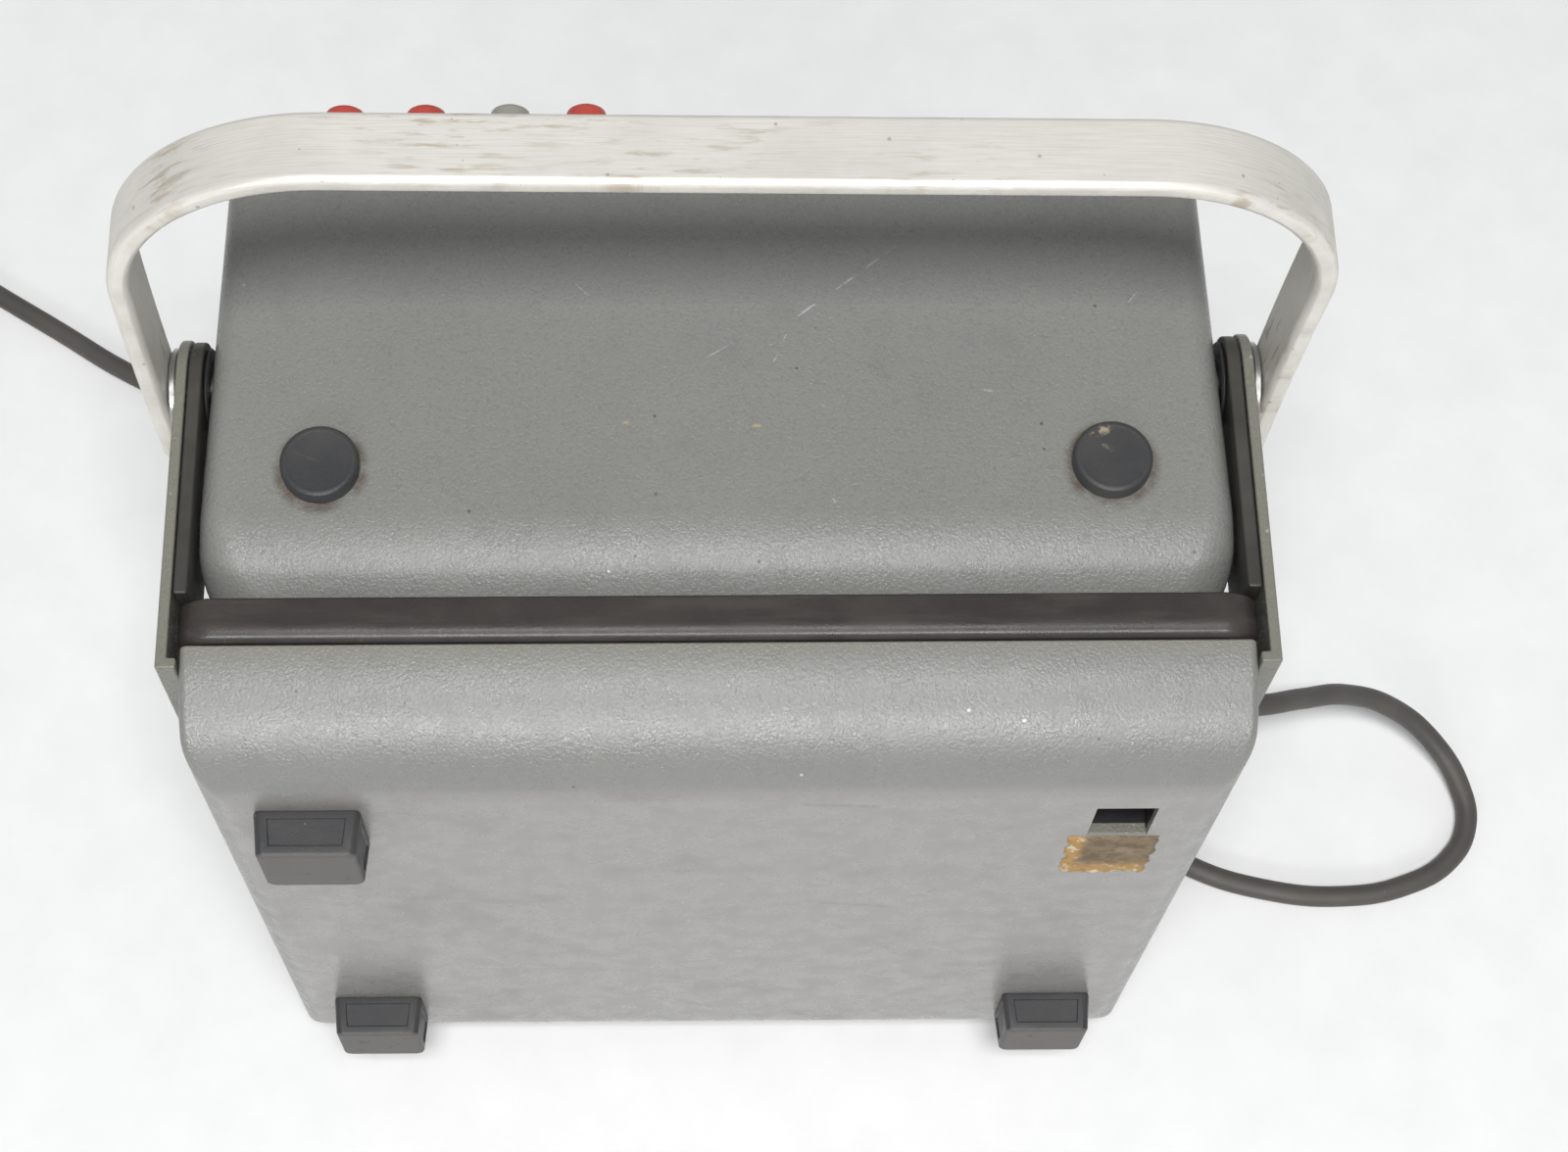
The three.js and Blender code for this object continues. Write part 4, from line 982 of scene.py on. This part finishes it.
def pivot_parts(end, side):
    pivot = (0, PIVOT_DEPTH, PIVOT_HEIGHT)
    end_face = HANDLE_OUTER - 0.2
    screw = [(6, 112.5), (7.2, 113.5), (7.2, 117.1), (4, 117.1), (4, end_face - 0.7), (3.4, end_face - 0.1),
             (1.0, end_face)]
    round_part("pivot_screw", end, side, screw, pivot, "steel", "instrument")
    inner_low, inner_high = span("inner_washer_right")
    washer = [(4.6, inner_low.x), (9.8, inner_low.x), (10.2, inner_low.x + 0.4), (10.2, inner_high.x - 0.4),
              (9.8, inner_high.x), (4.6, inner_high.x)]
    round_part("inner_washer", end, side, washer, pivot, "black_plastic", "instrument")
    outer_low, outer_high = span("outer_washer_right")
    washer = [(4.6, outer_low.x), (9.9, outer_low.x), (10.2, outer_low.x + 0.3), (10.2, outer_high.x - 0.3),
              (9.9, outer_high.x), (4.6, outer_high.x)]
    round_part("outer_washer", end, side, washer, pivot, "steel", "handle")
    rivet_low, rivet_high = span("arm_rivet_right")
    place = (0, (rivet_low.y + rivet_high.y) / 2, (rivet_low.z + rivet_high.z) / 2)
    out = arm_high.x
    rivet = [(1.6, rivet_low.x), (2, rivet_low.x + 0.3), (2, out + 0.3), (4, out + 0.3), (3.8, out + 0.75),
             (2.9, out + 1.15), (1.2, out + 1.3)]
    round_part("arm_rivet", end, side, rivet, place, "steel", "rear_tray", 28)


def bent(x, z):
    """Above the pivots the strap has been bent sideways, more so towards its top."""
    share = max(0.0, (z - PIVOT_HEIGHT) / (HANDLE_TOP - PIVOT_HEIGHT))
    return x + HANDLE_SHIFT * share * share, z - HANDLE_SLOPE * x * share


def strap_stations():
    """Places along a symmetric bow's outer face: x, z, the direction inwards, and half the width there."""
    half_wide = (strap_high.y - strap_low.y) / 2
    end_centre = strap_low.z + half_wide
    stations = []
    for i in range(13):
        angle = math.radians(88 - 88 * i / 12)
        drop = half_wide * math.sin(angle)
        stations.append((-HANDLE_OUTER, end_centre - drop, 1, 0, half_wide * math.cos(angle)))
    bend = HANDLE_TOP - HANDLE_RADIUS
    for i in range(1, 13):
        stations.append((-HANDLE_OUTER, end_centre + (bend - end_centre) * i / 12, 1, 0, half_wide))
    for i in range(1, 25):
        angle = math.radians(180 - 90 * i / 24)
        c, s = math.cos(angle), math.sin(angle)
        x = -HANDLE_OUTER + HANDLE_RADIUS * (1 + c)
        stations.append((x, bend + HANDLE_RADIUS * s, -c, -s, half_wide))
    right = [(-x, z, -nx, nz, wide) for x, z, nx, nz, wide in reversed(stations)]
    flat = HANDLE_OUTER - HANDLE_RADIUS
    between = [(-flat + 2 * flat * i / 24, HANDLE_TOP, 0, -1, half_wide) for i in range(1, 24)]
    return stations + between + right


def handle_strap():
    """A flat strap bent into a bow, of rounded rectangles, with ends that close in half circles."""
    stations = strap_stations()
    rings, runs, run = [], [], 0.0
    for number, (x, z, nx, nz, wide) in enumerate(stations):
        if number:
            run += math.dist(stations[number][:2], stations[number - 1][:2])
        corner = min(1.7, wide * 0.45)
        ring = []
        for u, _, v in rounded_ring(0, wide, 0, HANDLE_THICK, corner, 5):
            bent_x, bent_z = bent(x + nx * v, z + nz * v)
            ring.append((bent_x, PIVOT_DEPTH + u, bent_z))
        rings.append(ring)
        runs += [run * MM] * len(ring)
    build = loft(rings)
    layer = build.verts.layers.float.new("run")
    build.verts.ensure_lookup_table()
    for vertex, value in zip(build.verts, runs):
        vertex[layer] = value
    piece("handle_strap_made", build, "handle_aluminium", "handle", ["handle_strap"],
          smooth=45)


for end, side in (("left", -1), ("right", 1)):
    arm(end, side)
    arm_bar(end, side)
    pivot_parts(end, side)
handle_strap()

# ---- Control panel ----

FACE = span("front_panel")[1].y


def place_of(node_name):
    low, high = span(node_name)
    return (low.x + high.x) / 2, (low.z + high.z) / 2


def panel_round(node_name, profile, finish, body, slot, steps=40, **flutes):
    x, z = place_of(node_name)
    build = turned("Y", [(radius, FACE + y) for radius, y in profile], (x, 0, z), steps, **flutes)
    return piece(f"{node_name}_made", build, finish, body, [node_name])


def knob(node_name, body, radius, height):
    x, z = place_of(node_name)
    profile = [(3.6, -12), (3.6, 0.6), (radius + 3, 0.6), (radius + 3, 1.6), (radius + 2, 3.4),
               (radius, 4.6),
               (radius - 0.8, height * 0.6), (radius - 1.5, height - 1.2), (radius - 2.4, height - 0.2),
               (radius - 4, height), (radius * 0.3, height - 0.25)]
    build = turned("Y", [(r, FACE + y) for r, y in profile], (x, 0, z), 120, 20, 1.1, (5, 6, 7))
    piece(f"{node_name}_made", build, "black_plastic", body, [node_name])
    mark = box_solid((x - 0.7, FACE + height - 0.4, z + 1),
                     (x + 0.7, FACE + height + 0.35, z + radius - 2.6))
    piece(f"{node_name}_mark", bevelled(mark, 0.2, 2), "white_ink", body)


def meter():
    low, high = span("meter_case")
    dial_low, dial_high = span("meter_dial")
    x = (low.x + high.x) / 2
    half, front, back = (high.x - low.x) / 2, high.y, FACE + 0.3
    z0, z1 = low.z, high.z
    window = (half - 6, dial_low.z - 1, dial_high.z + 1)
    rings = [rounded_ring(back, half, z0, z1, 6), rounded_ring(front - 1.6, half, z0, z1, 6),
             rounded_ring(front - 0.8, half - 0.25, z0 + 0.25, z1 - 0.25, 5.8),
             rounded_ring(front - 0.2, half - 0.9, z0 + 0.9, z1 - 0.9, 5.2),
             rounded_ring(front, half - 1.9, z0 + 1.9, z1 - 1.9, 4.4),
             rounded_ring(front, window[0] + 0.6, window[1] - 0.6, window[2] + 0.6, 2.4),
             rounded_ring(front - 0.6, window[0], window[1], window[2], 2.0),
             rounded_ring(dial_low.y - 0.3, window[0], window[1], window[2], 2.0)]
    build = loft([moved_ring(ring, x) for ring in rings])
    piece("meter_case_made", build, "black_plastic", "instrument", ["meter_case"])
    softened("meter_dial", "dial_card", "instrument", 0.2)
    softened("meter_glass", "meter_glass", "instrument", 0.3)
    softened("meter_needle", "black_ink", "needle", 0.1)


def tick_tree():
    """A fan of short marks round a centre, on a flat face that looks along +Y."""
    tree = bpy.data.node_groups.new("tick_fan", "GeometryNodeTree")
    tree.interface.new_socket("Geometry", in_out="OUTPUT", socket_type="NodeSocketGeometry")
    for name in ("Centre", "Tick"):
        tree.interface.new_socket(name, in_out="INPUT", socket_type="NodeSocketVector")
    for name in ("Radius", "First", "Last"):
        tree.interface.new_socket(name, in_out="INPUT", socket_type="NodeSocketFloat")
    tree.interface.new_socket("Count", in_out="INPUT", socket_type="NodeSocketInt")
    tree.interface.new_socket("Ink", in_out="INPUT", socket_type="NodeSocketMaterial")
    given = tree.nodes.new("NodeGroupInput").outputs

    def add(kind, inputs, **settings):
        made = tree.nodes.new(kind)
        for name, value in settings.items():
            setattr(made, name, value)
        for name, value in inputs.items():
            if isinstance(value, bpy.types.NodeSocket):
                tree.links.new(value, made.inputs[name])
            else:
                made.inputs[name].default_value = value
        return made.outputs

    number = add("GeometryNodeInputIndex", {})[0]
    last = add("ShaderNodeMath", {0: given["Count"], 1: 1.0}, operation="SUBTRACT")[0]
    share = add("ShaderNodeMath", {0: number, 1: last}, operation="DIVIDE")[0]
    angle = add("ShaderNodeMapRange", {"Value": share, "To Min": given["First"],
                                       "To Max": given["Last"]})[0]
    x = add("ShaderNodeMath", {0: add("ShaderNodeMath", {0: angle}, operation="SINE")[0],
                               1: given["Radius"]},
            operation="MULTIPLY")[0]
    z = add("ShaderNodeMath", {0: add("ShaderNodeMath", {0: angle}, operation="COSINE")[0],
                               1: given["Radius"]},
            operation="MULTIPLY")[0]
    offset = add("ShaderNodeCombineXYZ", {0: x, 2: z})[0]
    place = add("ShaderNodeVectorMath", {0: given["Centre"], 1: offset}, operation="ADD")[0]
    points = add("GeometryNodePoints", {"Count": given["Count"], "Position": place})[0]
    tick = add("GeometryNodeMeshCube", {"Size": given["Tick"]})[0]
    spin = add("ShaderNodeCombineXYZ", {1: angle})[0]
    fan = add("GeometryNodeInstanceOnPoints", {"Points": points, "Instance": tick, "Rotation": spin})[0]
    solid = add("GeometryNodeRealizeInstances", {"Geometry": fan})[0]
    inked = add("GeometryNodeSetMaterial", {"Geometry": solid, "Material": given["Ink"]})[0]
    result = tree.nodes.new("NodeGroupOutput")
    tree.links.new(inked, result.inputs["Geometry"])
    return tree


TICKS = tick_tree()


def ticks(name, x, z, face, radius, first, last, count, size, ink="black_ink"):
    made = bpy.data.objects.new(name, bpy.data.meshes.new(name))
    bpy.context.scene.collection.objects.link(made)
    fan = made.modifiers.new("fan", "NODES")
    fan.node_group = TICKS
    values = {"Centre": row(x, face, z), "Tick": [v * MM for v in size], "Radius": radius * MM,
              "First": math.radians(first), "Last": math.radians(last), "Count": count,
              "Ink": FINISHES[ink]}
    for item in TICKS.interface.items_tree:
        if item.item_type == "SOCKET" and item.in_out == "INPUT":
            fan[item.identifier] = values[item.name]
    settle(made)
    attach(made, "instrument")


def control_panel():
    softened("front_panel", "panel_enamel", "instrument", 0.35)
    for i in range(1, 5):
        screw = [(2, -9), (2, 0.3), (3.5, 0.3), (3.8, 0.7), (3.6, 1.5), (2.9, 2.2), (1.5, 2.55), (0.6, 2.6)]
        panel_round(f"panel_screw_{i}", screw, "steel", "instrument", "steel", 28)
    knob("range_knob", "range_knob", 19, 17)
    knob("set_knob", "set_knob", 12, 14)
    lamp = [(5, -24), (5, 0.3), (7.2, 0.3), (7.5, 0.6), (7.5, 1.8), (6.6, 2.4), (6.2, 3.6), (5.6, 5.8),
            (4.3, 7.5),
            (2.4, 8.4), (0.8, 8.6)]
    panel_round("pilot_lamp", lamp, "red_plastic", "instrument", "red_plastic")
    fuse = [(6.5, -36), (6.5, 0.3), (8.6, 0.3), (9, 0.7), (9, 3.6), (8.6, 4.2), (7.5, 5), (7.4, 11.4),
            (6.9, 12.2),
            (3, 12.4)]
    panel_round("fuse_holder", fuse, "black_plastic", "instrument", "black_plastic", 96, flutes=16,
                flute_depth=0.6,
                fluted=(6, 7))
    softened("power_switch", "steel", "instrument", 0.2)
    softened("switch_lever", "steel", "switch_lever", 0.1)
    for i in range(1, 5):
        stud = [(4.5, -11), (4.5, -7), (3, -7), (3, 0.3), (6.1, 0.3), (6.5, 0.7), (6.5, 4.6), (6.1, 5),
                (2, 5), (2, 30),
                (1.2, 30)]
        panel_round(f"post_stud_{i}", stud, "brass", "instrument", "brass", 36)
        tip = span(f"post_cap_{i}")[1].y - FACE
        cap = [(2.4, 5.3), (5.2, 5.3), (5.6, 5.9), (6, 7.6), (6, tip - 8.4), (5.7, tip - 7.5),
               (5.2, tip - 6.8),
               (5.2, tip - 1.4), (4.9, tip - 0.5), (4.2, tip), (2.6, tip), (2.4, tip - 0.4), (2.4, tip - 3)]
        colour = "grey_plastic" if i == 3 else "red_plastic"
        panel_round(f"post_cap_{i}", cap, colour, f"post_cap_{i}", colour, 96, flutes=18, flute_depth=0.6,
                    fluted=(3, 4))
    x, z = place_of("range_knob")
    ticks("range_marks", x, z, FACE + 0.02, 25.5, -150, 150, 11, (0.7, 0.25, 3.2))
    x, z = place_of("set_knob")
    ticks("set_marks", x, z, FACE + 0.02, 18.0, -140, 140, 21, (0.45, 0.25, 2.2))
    needle_low, needle_high = span("meter_needle")
    dial_high = span("meter_dial")[1]
    pivot_x = needle_high.x - 2.0
    ticks("scale_long", pivot_x, needle_low.z + 2.4, dial_high.y + 0.05, 41.5, -40, 40, 11, (0.5, 0.2, 4.4))
    ticks("scale_short", pivot_x, needle_low.z + 2.4, dial_high.y + 0.05, 40.5, -40, 40, 51,
          (0.28, 0.2, 2.2))


meter()
control_panel()

# ---- Finishes of the CAD nodes that stay ----

KEPT = {"chassis": "steel", "transformer_core": "core_steel", "transformer_coil": "copper",
        "circuit_board": "board",
        "component_strip": "grey_plastic", "capacitor": "handle_aluminium"}
for node_name, finish in KEPT.items():
    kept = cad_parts[node_name]
    kept.data.materials.clear()
    kept.data.materials.append(FINISHES[finish])

# ---- Floor and light ----


def floor():
    build = bmesh.new()
    corners = [(-6, -6, 0), (6, -6, 0), (6, 6, 0), (-6, 6, 0)]
    build.faces.new([build.verts.new(c) for c in corners])
    mesh = bpy.data.meshes.new("floor")
    build.to_mesh(mesh)
    made = bpy.data.objects.new("floor", mesh)
    bpy.context.scene.collection.objects.link(made)
    paper = Finish("paper", (0.92, 0.92, 0.915), 0.8)
    mesh.materials.append(paper.close())


def soft_light(name, place, aim, size, power):
    data = bpy.data.lights.new(name, "AREA")
    data.shape = "RECTANGLE"
    data.size, data.size_y = size
    data.energy = power
    made = bpy.data.objects.new(name, data)
    made.location = place
    made.rotation_euler = (Vector(aim) - Vector(place)).to_track_quat("-Z", "Y").to_euler()
    bpy.context.scene.collection.objects.link(made)
    return made


def studio():
    floor()
    key = soft_light("key", (0.0, -0.60, 1.95), (0, 0, 0.1), (0.6, 0.34), 30)
    key.visible_glossy = False
    soft_light("front_window", (-0.2, -1.8, 1.25), (0, 0, 0.1), (1.8, 0.35), 7)
    for name, place, size, power in (("front_glint", (-0.1, -1.7, 1.30), (1.5, 0.45), 24),
                                     ("top_glint", (0.0, -0.60, 1.95), (0.6, 0.34), 15)):
        soft_light(name, place, (0, 0, 0.1), size, power).visible_diffuse = False
    world = bpy.data.worlds.new("world")
    world.use_nodes = True
    world.node_tree.nodes["Background"].inputs["Color"].default_value = (0.95, 0.97, 1.0, 1)
    world.node_tree.nodes["Background"].inputs["Strength"].default_value = 0.29
    bpy.context.scene.world = world
    bpy.context.scene.view_settings.view_transform = "Standard"


studio()
